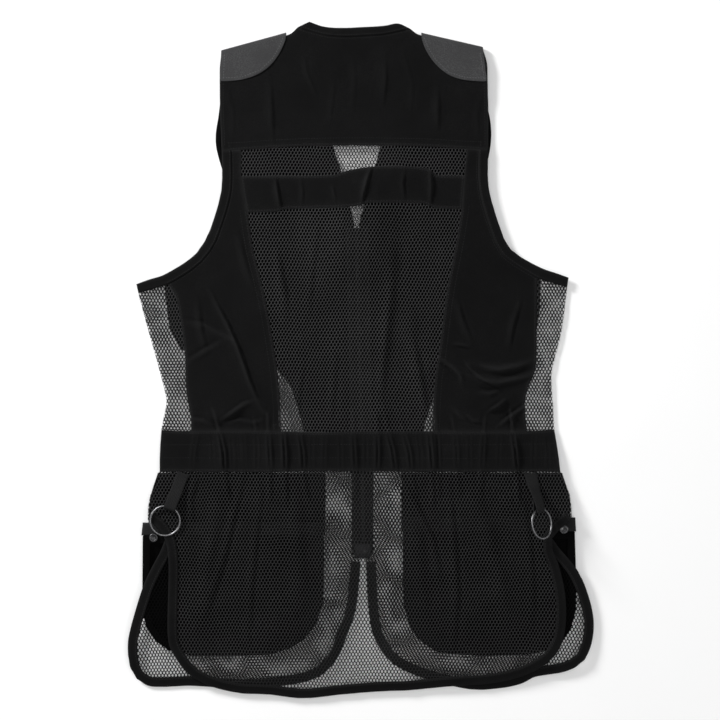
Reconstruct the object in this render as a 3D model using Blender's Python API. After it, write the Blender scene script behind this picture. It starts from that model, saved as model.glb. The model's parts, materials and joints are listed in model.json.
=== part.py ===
"""A lady's mesh-backed shooting vest, laid flat on its front with its back up.

The vest lies on the plane z = 0. +X is to the right and +Y towards the collar, seen from above, and
+Z is up. The origin is on that plane, below the middle of the whole vest. Every cloth piece is a
wall. The back pieces lie on the front pieces, which lie on the pockets, and the pockets on the plane.
"""

import math

import bmesh
import bpy
from mathutils import Matrix, Vector
from mathutils.geometry import delaunay_2d_cdt

for old in list(bpy.data.objects):
    bpy.data.objects.remove(old, do_unlink=True)

# Sizes in metres. Plan tables below are in pixels of the photograph, which PIXEL turns into metres.
VEST_LENGTH = 0.705
PIXEL = VEST_LENGTH / 678.0
MIDDLE_X, MIDDLE_Y = 360.5, 360.0
CLOTH = 0.0012
BINDING = 0.0020
SEAM_GAP = 0.0003
LAYER_GAP = 0.00035
HEM_TAPE = 0.0099
LOFT = 0.0045
CURVE_STEP = 0.014
MERGE = 0.00004

SHOULDER_LIFT = 0.0016
FLAP_LIFT = 0.0021
POCKET_LIFT = 0.0048
SLIDER_LIFT = 0.0072
FLAP_THICK = 0.0016
POCKET_FLOOR = 0.0014
POCKET_RIM = 0.0044
POCKET_RIM_WIDTH = 0.008

RING_RADIUS = 0.0154
WIRE_RADIUS = 0.0011
LOOP_BORE = 0.0021
STRAP_WIDTH = 0.0125
STRAP_THICK = 0.0013
SNAP_RADIUS = 0.0047
SNAP_THICK = 0.0018

ZIP_TAPE_THICK = 0.0012
ZIP_END_THICK = 0.0026
SLIDER_SIZE = (0.0088, 0.0125, 0.0036)
SLIDER_LOW = 0.0030
SLIDER_ROUND = 0.002
EAR_SIZE = (0.0011, 0.0040, 0.0026)
EARS_APART = 0.0050
EAR_AHEAD = 0.003
PULL_LENGTH = 0.021
PULL_WIDTH = 0.0064
PULL_THICK = 0.0014
PULL_LOW = 0.0005
PULL_NECK = 0.0030

# Lines of the plan that the height of the lying cloth is worked out on, in pixels.
GRID_X = (112, 138, 168, 200, 232, 264, 296, 327, 343, 378, 400, 432, 464, 496, 528, 560, 580, 606)
GRID_Y = (8, 50, 90, 112, 148, 176, 204, 230, 253, 284, 316, 348, 380, 412, 440, 468, 492, 516, 540,
          562, 595, 628, 660, 676, 690, 712)

# What lifts the front pieces off the plane, in pixels and metres.
# columns: left, top, right, bottom, height, run over which the height falls to nothing
FRONT_LIFTS = (
    (0, 0, 720, 90, SHOULDER_LIFT, 22),
    (138, 468, 327, 516, FLAP_LIFT, 24),
    (400, 468, 580, 516, FLAP_LIFT, 24),
    (138, 516, 327, 660, POCKET_LIFT, 30),
    (400, 516, 580, 660, POCKET_LIFT, 30),
    (343, 204, 378, 253, SLIDER_LIFT, 46),
)

# What lies between the front pieces and the back pieces, same columns.
BACK_LIFTS = (
    (343, 204, 378, 540, 0.0017, 20),
    (343, 540, 378, 562, 0.0034, 20),
    (560, 516, 570, 540, 0.0023, 20),
)

# Seam and edge lines, in pixels of the photograph. Each row is a point, x then y, on a smooth line.
LINES = {
    "shoulder_left": ((221.3, 52.2), (288.8, 34.0)),
    "neck_out_left": ((288.8, 34.0), (298, 26.5)),
    "neck_low": ((298, 26.5), (303, 29), (315, 31.8), (327, 34.8), (345, 36), (370, 34.8),
                 (385, 33.5), (395, 31.5), (406, 28.5), (410, 28)),
    "neck_top": ((298, 26.5), (307.7, 21), (316, 24.5), (336.5, 27.5), (353.6, 27), (381, 25.6),
                 (397, 23), (404, 25), (410, 28)),
    "neck_out_right": ((410, 28), (419, 34.2)),
    "shoulder_right": ((419, 34.2), (483.2, 49.0)),
    "yoke_side_left": ((221.3, 52.2), (219.8, 65), (219.8, 108), (221.5, 150)),
    "yoke_side_right": ((483.2, 49.0), (487.6, 65.5), (487.6, 81.5), (488.6, 112), (488.5, 149)),
    "yoke_hem_1": ((221.5, 150), (231, 149.8)),
    "yoke_hem_2": ((231, 149.8), (241, 149.5)),
    "yoke_hem_3": ((241, 149.5), (300, 146), (360, 145), (420, 146), (467, 148.4)),
    "yoke_hem_4": ((467, 148.4), (479, 148.8)),
    "yoke_hem_5": ((479, 148.8), (488.5, 149)),
    "armhole_left": ((221.5, 150), (222, 176), (221, 191), (217, 208), (209.6, 230), (205, 240),
                     (196, 253), (185, 262), (172, 270), (158, 277), (144, 280.5), (136, 284)),
    "armhole_in_left": ((231, 149.8), (231.5, 176), (230.5, 192), (226.3, 210), (218.5, 233),
                        (213.3, 245), (203, 259.5), (190.5, 270), (176.5, 279), (168, 283.5)),
    "armpit_left": ((168, 283.5), (138, 293)),
    "armhole_right": ((488.5, 149), (488, 178), (491, 198), (498.7, 223), (505, 240), (512, 250),
                      (523, 258), (535, 264.5), (547, 270), (558, 273.5), (569, 277.5)),
    "armhole_in_right": ((479, 148.8), (478.5, 178), (481.6, 200), (489.7, 226), (496.5, 244.5),
                         (505, 257), (518.5, 266.2), (530.5, 273.5), (537.5, 277.5)),
    "armpit_right": ((537.5, 277.5), (567.5, 287)),
    "strip_left": ((241, 149.5), (241, 176)),
    "strip_right": ((467, 148.4), (464.5, 176)),
    "band_top": ((241, 176), (300, 176), (336, 175), (352, 169.5), (380, 166.5), (424, 167.5),
                 (434, 174.5), (464.5, 176)),
    "band_low": ((247, 212), (279, 211.5), (290, 208.5), (349, 207.5), (368, 203.5), (424, 203),
                 (436, 208), (462, 208.5)),
    "band_end_left": ((241, 176), (243.5, 194), (247, 212)),
    "band_end_right": ((464.5, 176), (463, 192), (462, 208.5)),
    "side_in_left": ((247, 212), (253, 250), (263, 290), (272.5, 340), (279, 390), (281, 431.7)),
    "side_in_right": ((462, 208.5), (457, 240), (447, 293), (440, 347), (435, 382), (432.5, 431.5)),
    "side_out_left": ((168, 283.5), (176, 298), (184, 347), (186, 390), (191, 420), (191, 431.7)),
    "side_out_right": ((537.5, 277.5), (537, 323), (536, 367), (527.5, 390), (525, 407),
                       (527.5, 431.7)),
    "fold_left": ((138, 293), (145, 320), (155, 355), (163, 385), (166.5, 400), (164, 415),
                  (161, 430.5)),
    "fold_right": ((567.5, 287), (566, 300), (562, 330), (556, 355), (551.5, 375), (553, 400),
                   (554.8, 430)),
    "waist_top_1": ((161, 430.5), (191, 431.7)),
    "waist_top_2": ((191, 431.7), (236, 431), (281, 431.7)),
    "waist_top_3": ((281, 431.7), (320, 432.5), (360, 431.5), (432.5, 431.5)),
    "waist_top_4": ((432.5, 431.5), (480, 432), (527.5, 431.7)),
    "waist_top_5": ((527.5, 431.7), (554.8, 430)),
    "waist_low": ((159.5, 471.7), (250, 472), (360, 471), (470, 472), (560.5, 471.7)),
    "waist_left": ((161, 430.5), (159.6, 451), (159.5, 471.7)),
    "waist_right": ((554.8, 430), (558, 450), (560.5, 471.7)),
    "skirt_fold_left": ((159.5, 471.7), (155, 485), (150.5, 495), (148.5, 505), (148, 520)),
    "skirt_fold_right": ((560.5, 471.7), (567.5, 489), (571, 500), (571.3, 520)),
    "back_edge": ((148, 520), (158, 528.5), (165.5, 541), (168.5, 560), (168.5, 584), (167.6, 620),
                  (168.3, 640), (172, 652), (180, 664), (190, 676), (212, 687.5), (240, 694),
                  (266, 695), (290, 698), (308, 699), (344, 695), (382, 692), (409, 691),
                  (449, 687), (490, 684), (515, 679), (535, 671), (552, 659), (562, 643),
                  (566, 620), (565, 593), (559, 566), (551, 543), (558, 530.5), (571.3, 520)),
    "front_edge_left": ((148, 520), (157, 526), (165, 537), (161, 550), (151, 569), (144, 584),
                        (137, 605), (130, 630), (127.3, 648), (129.8, 668), (136.5, 680),
                        (147, 686.6), (165, 688), (191, 686.8), (240, 690), (272, 688), (304, 683),
                        (324, 674), (339, 656), (346, 638), (353, 620), (357, 602), (360.6, 563)),
    "front_edge_right": ((571.3, 520), (562, 527.5), (552, 537), (560, 549), (573, 564),
                         (582, 578.6), (589.4, 598.4), (594, 620), (592.5, 642), (584, 661.4),
                         (566, 672), (536, 677.6), (521, 685), (503, 689), (479.6, 691),
                         (461.6, 689), (436, 682.5), (413, 675), (394, 665), (383, 654), (374, 638),
                         (370, 620), (368, 602), (366.2, 563)),
    "front_waist_1": ((161, 430.5), (304, 432)),
    "front_waist_2": ((304, 432), (359.2, 432)),
    "front_waist_3": ((365.2, 432), (423, 432)),
    "front_waist_4": ((423, 432), (554.8, 430)),
    "front_side_left": ((161, 430.5), (159.6, 451), (159.5, 471.7), (155, 485), (150.5, 495),
                        (148.5, 505), (148, 520)),
    "front_side_right": ((554.8, 430), (558, 450), (560.5, 471.7), (567.5, 489), (571, 500),
                         (571.3, 520)),
    "zip_left_high": ((353.8, 222), (356.3, 340), (359.2, 432)),
    "zip_right_high": ((359.8, 222), (362.3, 340), (365.2, 432)),
    "zip_left_low": ((359.2, 432), (360.6, 563)),
    "zip_right_low": ((365.2, 432), (366.2, 563)),
    "front_shoulder_left": ((223, 52), (289, 33.6), (300, 29)),
    "front_shoulder_right": ((407, 29.5), (420, 34), (481.5, 48.6)),
    "vee_left": ((300, 29), (308, 70), (320, 110), (333, 147), (341, 171), (349, 203),
                 (353.8, 222)),
    "vee_right": ((407, 29.5), (400, 70), (390, 110), (380, 147), (376, 164), (367, 195),
                  (359.8, 222)),
    "front_armhole_left": ((223, 52), (221, 90), (217.5, 119), (215.3, 134), (216.2, 149),
                           (221.5, 168), (224.5, 180), (223.5, 193), (219.5, 209.5), (212, 231.5),
                           (207.5, 241.5), (198.5, 255), (187, 264.5), (174, 272.5), (163, 278.5)),
    "front_armhole_right": ((481.5, 48.6), (486.3, 66), (487, 102), (489.5, 113), (491.6, 127),
                            (490.8, 146), (487.5, 164), (485.5, 180), (488.3, 200), (495.5, 226),
                            (501.5, 242), (509, 252.5), (521, 261), (533, 267), (541.5, 272.5)),
    "front_out_left": ((163, 278.5), (165, 296), (170, 330), (181, 350), (215, 361), (260, 364),
                       (281, 371), (293, 396), (301.5, 420), (304, 432)),
    "front_out_right": ((541.5, 272.5), (541, 296), (537, 330), (528, 349), (500, 360),
                        (462, 366), (443, 377), (434, 400), (425.5, 420), (423, 432)),
}

# The three lines of each folded side panel are cut into the same number of steps.
STEPS = {name + side: 10 for name in ("fold_", "side_out_", "front_out_")
         for side in ("left", "right")}

# Each cloth piece as its seam and edge lines in turn, a minus sign for a line that is run backwards.
# columns: lines, layer it belongs to, thickness, material
PANELS = {
    "back_yoke": ("shoulder_left neck_out_left neck_low neck_out_right shoulder_right "
                  "yoke_side_right -yoke_hem_5 -yoke_hem_4 -yoke_hem_3 -yoke_hem_2 -yoke_hem_1 "
                  "-yoke_side_left", "back", CLOTH, "twill"),
    "neck_binding": ("neck_top -neck_low", "back", BINDING, "binding"),
    "back_mesh_upper": ("yoke_hem_3 strip_right -band_top -strip_left", "back", CLOTH, "mesh"),
    "back_cross_band": ("band_top band_end_right -band_low -band_end_left", "back", CLOTH, "twill"),
    "back_mesh_main": ("band_low side_in_right -waist_top_3 -side_in_left", "back", CLOTH, "mesh"),
    "side_back_left": ("yoke_hem_2 strip_left band_end_left side_in_left -waist_top_2 "
                       "-side_out_left -armhole_in_left", "back", CLOTH, "twill"),
    "side_back_right": ("yoke_hem_4 armhole_in_right side_out_right -waist_top_4 -side_in_right "
                        "-band_end_right -strip_right", "back", CLOTH, "twill"),
    "armhole_binding_left": ("yoke_hem_1 armhole_in_left armpit_left -armhole_left", "back",
                             BINDING, "binding"),
    "armhole_binding_right": ("yoke_hem_5 armhole_right -armpit_right -armhole_in_right", "back",
                              BINDING, "binding"),
    "waistband": ("waist_top_1 waist_top_2 waist_top_3 waist_top_4 waist_top_5 waist_right "
                  "-waist_low -waist_left", "back", CLOTH, "twill"),
    "back_skirt_mesh": ("waist_low skirt_fold_right -back_edge_in -skirt_fold_left", "back", CLOTH,
                        "mesh"),
    "back_skirt_binding": ("back_edge_in -back_edge", "back", BINDING, "binding"),
    "front_left": ("front_shoulder_left vee_left zip_left_high -front_waist_2 -front_out_left "
                   "-front_armhole_left", "front", CLOTH, "twill"),
    "front_right": ("front_shoulder_right front_armhole_right front_out_right -front_waist_3 "
                    "-zip_right_high -vee_right", "front", CLOTH, "twill"),
    "front_skirt_left": ("front_waist_1 front_waist_2 zip_left_low -front_edge_in_left "
                         "-front_side_left", "front", CLOTH, "mesh"),
    "front_skirt_right": ("front_waist_3 front_waist_4 front_side_right front_edge_in_right "
                          "-zip_right_low", "front", CLOTH, "mesh"),
    "front_binding_left": ("front_edge_in_left -front_edge_left", "front", CLOTH, "binding"),
    "front_binding_right": ("front_edge_right -front_edge_in_right", "front", CLOTH, "binding"),
}

# The largest folds, as ridges of the wall. Points are pixels, height and half width are metres.
# columns: piece, height, half width, points of the ridge
FOLDS = (
    ("side_back_left", 0.0034, 0.0080, ((213, 300), (227, 326), (240, 355), (252, 384), (262, 403))),
    ("side_back_left", 0.0030, 0.0075, ((200, 417), (221, 419), (238, 410), (249, 400))),
    ("side_back_right", 0.0034, 0.0080, ((447, 358), (462, 367), (478, 381), (498, 387))),
    ("side_back_right", 0.0026, 0.0080, ((482, 366), (503, 371), (525, 368))),
    ("side_back_right", 0.0028, 0.0075, ((480, 411), (497, 404), (516, 394))),
    ("back_cross_band", 0.0026, 0.0060, ((371, 171), (366, 185), (361.5, 200))),
    ("back_cross_band", 0.0022, 0.0055, ((276, 181), (279, 194), (281, 206))),
    ("back_cross_band", 0.0022, 0.0055, ((429, 172), (430, 186), (430, 199))),
    ("back_mesh_main", 0.0024, 0.0090, ((392, 232), (389, 300), (383, 360), (380, 420))),
    ("back_mesh_main", 0.0024, 0.0090, ((409, 300), (413, 350), (421, 390), (427, 422))),
    ("back_mesh_main", 0.0020, 0.0080, ((276, 240), (282, 285), (287, 330))),
    ("back_yoke", 0.0020, 0.0080, ((269, 90), (270, 112), (271, 134))),
    ("back_yoke", 0.0020, 0.0080, ((437, 92), (437, 110), (437, 130))),
    ("back_yoke", 0.0018, 0.0075, ((386, 62), (385, 82), (382, 104))),
    ("back_skirt_mesh", 0.0034, 0.0110, ((220, 482), (214, 530), (206, 580), (203, 630))),
    ("back_skirt_mesh", 0.0034, 0.0110, ((297, 478), (296, 520), (300, 570), (298, 620))),
    ("back_skirt_mesh", 0.0034, 0.0110, ((404, 480), (415, 525), (419, 575), (425, 625))),
    ("back_skirt_mesh", 0.0034, 0.0110, ((470, 484), (487, 530), (500, 580), (507, 625))),
)

# Where the elastic gathers the waistband. columns: x at the top, x at the bottom, height
GATHERS = (
    (196, 192, 0.0014), (219, 222, 0.0026), (243, 245, 0.0012), (268, 270, 0.0022),
    (283, 285, 0.0024), (299, 302, 0.0022), (325, 324, 0.0010), (353, 355, 0.0020),
    (377, 377, 0.0020), (388, 395, 0.0020), (404, 411, 0.0018), (431, 433, 0.0026),
    (455, 457, 0.0010), (484, 482, 0.0012), (517, 515, 0.0026),
)
GATHER_WIDTH = 0.0055
GATHER_END = 0.45
BAND_TOP, BAND_LOW = 428.5, 474.5

# Pockets, in pixels: the pouch, the bound band along its top and the flap that closes it.
POUCHES = {
    "left": ((142, 536), (141.5, 585), (141.5, 612), (146, 629), (155, 642), (168, 651), (190, 656.5),
             (230, 657), (268, 656), (290, 649), (304, 640), (316, 625), (323, 605), (324, 585),
             (324, 536)),
    "right": ((403, 532), (403, 585), (404, 608), (411, 630), (422, 643), (437, 653), (462, 656),
              (500, 656.5), (530, 655.5), (550, 651), (563, 642), (571.5, 630), (576.5, 611),
              (577, 585), (575.5, 532)),
}
BANDS = {
    "left": ((143.3, 524.5), (324, 524.5), (324, 534.6), (142.2, 534.6)),
    "right": ((403, 519.3), (574.7, 519.3), (575.4, 530.6), (403, 530.6)),
}
FLAPS = {
    "left": ((158, 480), (324, 480), (324, 523), (149, 523), (150.5, 500)),
    "right": ((403, 480), (562, 480), (569.5, 500), (570, 517.8), (403, 517.8)),
}

# Snaps: the left one on the pocket's top edge, the right one on the front's binding.
# columns: x, y, height of the cloth that carries it
SNAPS = {"left": (153.2, 538, POCKET_RIM), "right": (564, 529.5, POCKET_LIFT + CLOTH)}

# Shoulder patches, from the neck to the armhole. columns: x, y on the fold, x, y of the lower edge
PATCHES = {
    "left": ((286, 31.2, 285.6, 38), (282, 32.3, 283, 46), (273, 34.8, 275.5, 60), (259, 38.6, 262, 73),
             (241, 43.5, 241, 80.3), (221, 49, 219.8, 81)),
    "right": ((421.5, 31.4, 421.8, 38), (425, 32.2, 424.5, 47), (434, 34.3, 432.5, 61),
              (447, 37.3, 447, 74.5), (464, 41.2, 463.5, 80.3), (483, 45.6, 487.6, 81.2)),
}

# Straps of the rings. columns: x, y where the strap leaves the waistband, x, y of the loop's axis,
# dip of the ring below level, turn of the strap about its own length (degrees)
STRAPS = {
    "left": (183.0, 473.2, 170.3, 507.3, 1.5, 0.0),
    "right": (530.5, 473.2, 537.6, 508.5, 0.0, 45.0),
}

# The zip, in pixels: the outer edges of its two tapes, its end box (left, top, right, bottom) and
# the middle of its slider.
ZIP_TAPE = (((346, 228), (348.8, 340), (351.8, 473), (352.2, 543)),
            ((368, 228), (370.5, 340), (373, 473), (373, 543)))
ZIP_END = (354.5, 544.5, 370.8, 558.5)
SLIDER_AT = (356.9, 234)

MATERIALS = {
    "twill": ((0.011, 0.011, 0.012, 1.0), 0.85, 0.0),
    "mesh": ((0.010, 0.010, 0.011, 1.0), 0.75, 0.0),
    "binding": ((0.008, 0.008, 0.009, 1.0), 0.80, 0.0),
    "patch": ((0.062, 0.062, 0.064, 1.0), 0.90, 0.0),
    "metal": ((0.120, 0.120, 0.125, 1.0), 0.35, 1.0),
    "plastic": ((0.010, 0.010, 0.011, 1.0), 0.50, 0.0),
}


def place(x, y):
    """A pixel of the photograph as metres on the plane."""
    return Vector(((x - MIDDLE_X) * PIXEL, (MIDDLE_Y - y) * PIXEL))


def smooth_line(name, points):
    """Points along the smooth line through a table's points, about CURVE_STEP apart."""
    knots = [place(*p) for p in points]
    if len(knots) == 2:
        steps = STEPS.get(name, 1)
        return [knots[0].lerp(knots[1], i / steps) for i in range(steps + 1)]
    ends = [2 * knots[0] - knots[1], *knots, 2 * knots[-1] - knots[-2]]
    fine = [knots[0]]
    for a, b, c, d in zip(ends, ends[1:], ends[2:], ends[3:]):
        for i in range(1, 9):
            t = i / 8
            fine.append(0.5 * (2 * b + (c - a) * t + (2 * a - 5 * b + 4 * c - d) * t * t
                               + (3 * b - a - 3 * c + d) * t ** 3))
    along = [0.0]
    for a, b in zip(fine, fine[1:]):
        along.append(along[-1] + (b - a).length)
    steps = STEPS.get(name, max(2, round(along[-1] / CURVE_STEP)))
    line, k = [], 0
    for i in range(steps + 1):
        want = along[-1] * i / steps
        while k < len(along) - 2 and along[k + 1] < want:
            k += 1
        line.append(fine[k].lerp(fine[k + 1], (want - along[k]) / (along[k + 1] - along[k])))
    return line


def beside(line, width):
    """The line moved sideways, to the left of its own direction for a positive width."""
    moved = []
    for i, p in enumerate(line):
        ahead = (line[min(i + 1, len(line) - 1)] - line[max(i - 1, 0)]).normalized()
        moved.append(p + width * Vector((-ahead.y, ahead.x)))
    return moved


CURVES = {name: smooth_line(name, points) for name, points in LINES.items()}
CURVES["back_edge_in"] = beside(CURVES["back_edge"], HEM_TAPE)
CURVES["front_edge_in_left"] = beside(CURVES["front_edge_left"], HEM_TAPE)
CURVES["front_edge_in_right"] = beside(CURVES["front_edge_right"], -HEM_TAPE)


def counterclockwise(loop):
    area = sum(a.cross(b) for a, b in zip(loop, loop[1:] + loop[:1]))
    return loop if area > 0 else loop[::-1]


def outline(lines):
    """One closed loop of points, counterclockwise, from the names of its lines in turn."""
    loop = []
    for name in lines.split():
        line = CURVES[name.lstrip("-")]
        loop += reversed(line) if name.startswith("-") else line
    return counterclockwise([p for i, p in enumerate(loop) if (p - loop[i - 1]).length > 1e-5])


def shrunk(loop, width):
    """A counterclockwise loop with every side moved inwards by the same width."""
    inner = []
    for i, p in enumerate(loop):
        before, after = (p - loop[i - 1]).normalized(), (loop[(i + 1) % len(loop)] - p).normalized()
        n1, n2 = Vector((-before.y, before.x)), Vector((-after.y, after.x))
        middle = n1 + n2
        inner.append(p + middle * (2 * width / max(middle.length_squared, 0.5)))
    return inner


def lift(x, y, lifts):
    """The height that the highest lift gives at a pixel."""
    best = 0.0
    for left, top, right, bottom, height, run in lifts:
        away = max(left - x, x - right, top - y, y - bottom, 0.0)
        best = max(best, height * max(0.0, 1.0 - away / run))
    return best


def ease(t):
    t = min(max(t, 0.0), 1.0)
    return t * t * (3 - 2 * t)


def loft(x, y):
    """The air that the cloth holds between front and back, away from the sides and the shoulders."""
    side = ease((152 - abs(x - MIDDLE_X)) / 60)
    ends = ease((y - 95) / 60) * ease((700 - y) / 70)
    return LOFT * side * ends * (0.8 + 0.2 * math.sin(x / 24) * math.sin(y / 31))


FRONT_HEIGHTS = {(x, y): lift(x, y, FRONT_LIFTS) for x in GRID_X for y in GRID_Y}
BACK_HEIGHTS = {
    (x, y): FRONT_HEIGHTS[x, y] + CLOTH + LAYER_GAP + lift(x, y, BACK_LIFTS) + loft(x, y)
    for x in GRID_X for y in GRID_Y
}
LAYERS = {"front": FRONT_HEIGHTS, "back": BACK_HEIGHTS}


def height(layer, point):
    """The height of a layer's underside at a point of the plane, flat over each grid triangle."""
    heights = LAYERS[layer]
    x, y = point.x / PIXEL + MIDDLE_X, MIDDLE_Y - point.y / PIXEL
    i = max(k for k, line in enumerate(GRID_X[:-1]) if k == 0 or line <= x)
    j = max(k for k, line in enumerate(GRID_Y[:-1]) if k == 0 or line <= y)
    x0, x1, y0, y1 = GRID_X[i], GRID_X[i + 1], GRID_Y[j], GRID_Y[j + 1]
    u, v = (x - x0) / (x1 - x0), (y - y0) / (y1 - y0)
    a, b, c, d = heights[x0, y0], heights[x1, y0], heights[x1, y1], heights[x0, y1]
    return a + u * (b - a) + v * (c - b) if u >= v else a + v * (d - a) + u * (c - d)


def ridge_lines(piece):
    """The folds of one piece: height, half width, share of the height at the ends, ridge points."""
    folds = [(h, w, 0.0, [place(*p) for p in points])
             for name, h, w, points in FOLDS if name == piece]
    if piece == "waistband":
        for top, low, h in GATHERS:
            folds.append((h, GATHER_WIDTH, GATHER_END,
                          [place(top + (low - top) * t, BAND_TOP + (BAND_LOW - BAND_TOP) * t)
                           for t in (0.0, 0.5, 1.0)]))
    return folds


def fold_height(point, folds):
    """How far the folds raise the cloth at a point."""
    raised = 0.0
    for h, width, end_share, ridge in folds:
        total = sum((b - a).length for a, b in zip(ridge, ridge[1:]))
        run = 0.0
        for a, b in zip(ridge, ridge[1:]):
            side = b - a
            t = min(max((point - a).dot(side) / side.length_squared, 0.0), 1.0)
            away = (point - a - t * side).length
            swell = max(math.sin(math.pi * (run + t * side.length) / total), 0.0) ** 0.6
            full = end_share + (1 - end_share) * swell
            raised = max(raised, h * max(0.0, 1.0 - away / width) * full)
            run += side.length
    return raised


def triangulate(loop, folds, gridded):
    """Flat points and triangles inside a loop, cut along the height grid and along the folds."""
    points = [p.copy() for p in loop]
    edges = []
    if gridded:
        across, down = [p.x for p in loop], [p.y for p in loop]
        xs = [x for x, nxt, last in zip(GRID_X, GRID_X[1:] + (9999,), (-9999,) + GRID_X[:-1])
              if place(nxt, 0).x > min(across) and place(last, 0).x < max(across)]
        ys = [y for y, nxt, last in zip(GRID_Y, GRID_Y[1:] + (9999,), (-9999,) + GRID_Y[:-1])
              if place(0, nxt).y < max(down) and place(0, last).y > min(down)]
        first = len(points)
        points += [place(x, y) for y in ys for x in xs]
        wide = len(xs)
        for j in range(len(ys)):
            for i in range(wide):
                k = first + j * wide + i
                edges += [(k, k + 1)] if i + 1 < wide else []
                edges += [(k, k + wide)] if j + 1 < len(ys) else []
                edges += [(k, k + wide + 1)] if i + 1 < wide and j + 1 < len(ys) else []
    for _, width, _, ridge in folds:
        for line in (beside(ridge, width), ridge, beside(ridge, -width)):
            edges += [(len(points) + k, len(points) + k + 1) for k in range(len(line) - 1)]
            points += line
    verts, _, faces, _, _, origin = delaunay_2d_cdt(points, edges, [list(range(len(loop)))], 0, MERGE,
                                                    True)
    kept = [f for f, source in zip(faces, origin) if source]
    used = sorted({k for f in kept for k in f})
    number = {k: i for i, k in enumerate(used)}
    return [verts[k] for k in used], [tuple(number[k] for k in f) for f in kept]


def rim_edges(faces):
    """The directed edges of the triangles that no other triangle shares."""
    edges = {(f[k], f[(k + 1) % 3]) for f in faces for k in range(3)}
    return [e for e in edges if (e[1], e[0]) not in edges]


def make_object(name, verts, faces, material):
    mesh = bpy.data.meshes.new(name)
    mesh.from_pydata([tuple(v) for v in verts], [], faces)
    mesh.materials.append(material)
    obj = bpy.data.objects.new(name, mesh)
    bpy.context.scene.collection.objects.link(obj)
    return obj


def wall(name, flat, faces, low, high, material):
    """A closed wall over flat triangles, between a list of low and a list of high heights."""
    n = len(flat)
    verts = [(p.x, p.y, z) for p, z in zip(flat, high)] + [(p.x, p.y, z) for p, z in zip(flat, low)]
    skin = list(faces) + [(c + n, b + n, a + n) for a, b, c in faces]
    for a, b in rim_edges(faces):
        skin += [(a, a + n, b + n), (a, b + n, b)]
    return make_object(name, verts, skin, material)


def panel(name, lines, layer, thick, material):
    folds = ridge_lines(name)
    flat, faces = triangulate(shrunk(outline(lines), SEAM_GAP / 2), folds, True)
    low = [height(layer, p) + fold_height(p, folds) for p in flat]
    return wall(name, flat, faces, low, [z + thick for z in low], material)


def folded_wall(name, sections, thick, material):
    """A wall through sections that are rows of points in 3-D, each with the same number of points.

    Each section runs from one free edge over the fold to the other free edge.
    """
    verts, count = [], len(sections[0])
    for section in sections:
        inward = Vector((section[0].x + section[-1].x, section[0].y + section[-1].y, 0)) / 2
        fold = section[count // 2]
        inward = (inward - Vector((fold.x, fold.y, 0))).normalized()
        for sign in (0.5, -0.5):
            for i, p in enumerate(section):
                ahead = section[min(i + 1, count - 1)] - section[max(i - 1, 0)]
                run = Vector((ahead.dot(inward), ahead.z))
                normal = Vector((run.y, -run.x)).normalized()
                verts.append(p + sign * thick * (normal.x * inward + Vector((0, 0, normal.y))))
    faces, ring = [], 2 * count
    around = list(range(count)) + list(range(ring - 1, count - 1, -1))
    for s in range(len(sections) - 1):
        for k in range(ring):
            a, b = s * ring + around[k], s * ring + around[(k + 1) % ring]
            faces += [(a, b, b + ring), (a, b + ring, a + ring)]
    last = (len(sections) - 1) * ring
    for k in range(count - 1):
        a, b, c, d = k, k + 1, count + k + 1, count + k
        faces += [(a, c, b), (a, d, c), (last + a, last + b, last + c), (last + a, last + c, last + d)]
    obj = make_object(name, verts, faces, material)
    outward(obj)
    return obj


def outward(obj):
    """Turns a closed mesh's faces to point out."""
    bm = bmesh.new()
    bm.from_mesh(obj.data)
    bmesh.ops.recalc_face_normals(bm, faces=bm.faces)
    if bm.calc_volume(signed=True) < 0:
        bmesh.ops.reverse_faces(bm, faces=bm.faces)
    bm.to_mesh(obj.data)
    bm.free()


def fold_section(fold, top, under, z_top, z_low, thick, spans):
    """One section of a folded wall: the top flap, the round of the fold and the under flap."""
    radius = (z_top - z_low) / 2
    reach = radius + thick / 2
    middle = (z_top + z_low) / 2
    top_way, under_way = (top - fold).normalized(), (under - fold).normalized()
    way = (top_way + under_way).normalized()
    centre = fold + way * reach
    section = [Vector((*top.lerp(centre, i / spans), z_top)) for i in range(spans + 1)]
    for degrees in (50, 0, -50):
        turn = math.radians(degrees)
        out = centre - way * radius * math.cos(turn)
        section.append(Vector((out.x, out.y, middle + radius * math.sin(turn))))
    section += [Vector((*centre.lerp(under, i / spans), z_low)) for i in range(spans + 1)]
    return section


def side_panel(side, material):
    """The mesh panel that is folded at the side, from the back side panel round to the front."""
    fold, top, under = (CURVES[name + side] for name in ("fold_", "side_out_", "front_out_"))
    sections = []
    for i, (f, t, u) in enumerate(zip(fold, top, under)):
        end = 2 * SEAM_GAP * ((i == 0) - (i == len(fold) - 1)) * Vector((0, -1))
        t = t + (f - t).normalized() * SEAM_GAP
        u = u + (f - u).normalized() * SEAM_GAP
        sections.append(fold_section(f + end, t + end, u + end, CLOTH * 1.5 + LAYER_GAP, CLOTH / 2,
                                     CLOTH, 3))
    return folded_wall("side_mesh_" + side, sections, CLOTH, material)


def shoulder_patch(side, material):
    """The patch over the shoulder seam: as deep in front as it is behind."""
    z_top = SHOULDER_LIFT + CLOTH + LAYER_GAP + CLOTH + SEAM_GAP + CLOTH / 2
    sections = []
    for fx, fy, x, y in PATCHES[side]:
        fold, edge = place(fx, fy), place(x, y)
        sections.append(fold_section(fold, edge, edge, z_top, CLOTH / 2, CLOTH, 2))
    return folded_wall("shoulder_patch_" + side, sections, CLOTH, material)


def flat_piece(name, table, low, high, material):
    """A wall of even height over a loop of pixels."""
    loop = counterclockwise([place(*p) for p in table])
    flat, faces = triangulate(shrunk(loop, SEAM_GAP / 2), [], False)
    return wall(name, flat, faces, [low] * len(flat), [high] * len(flat), material)


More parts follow.
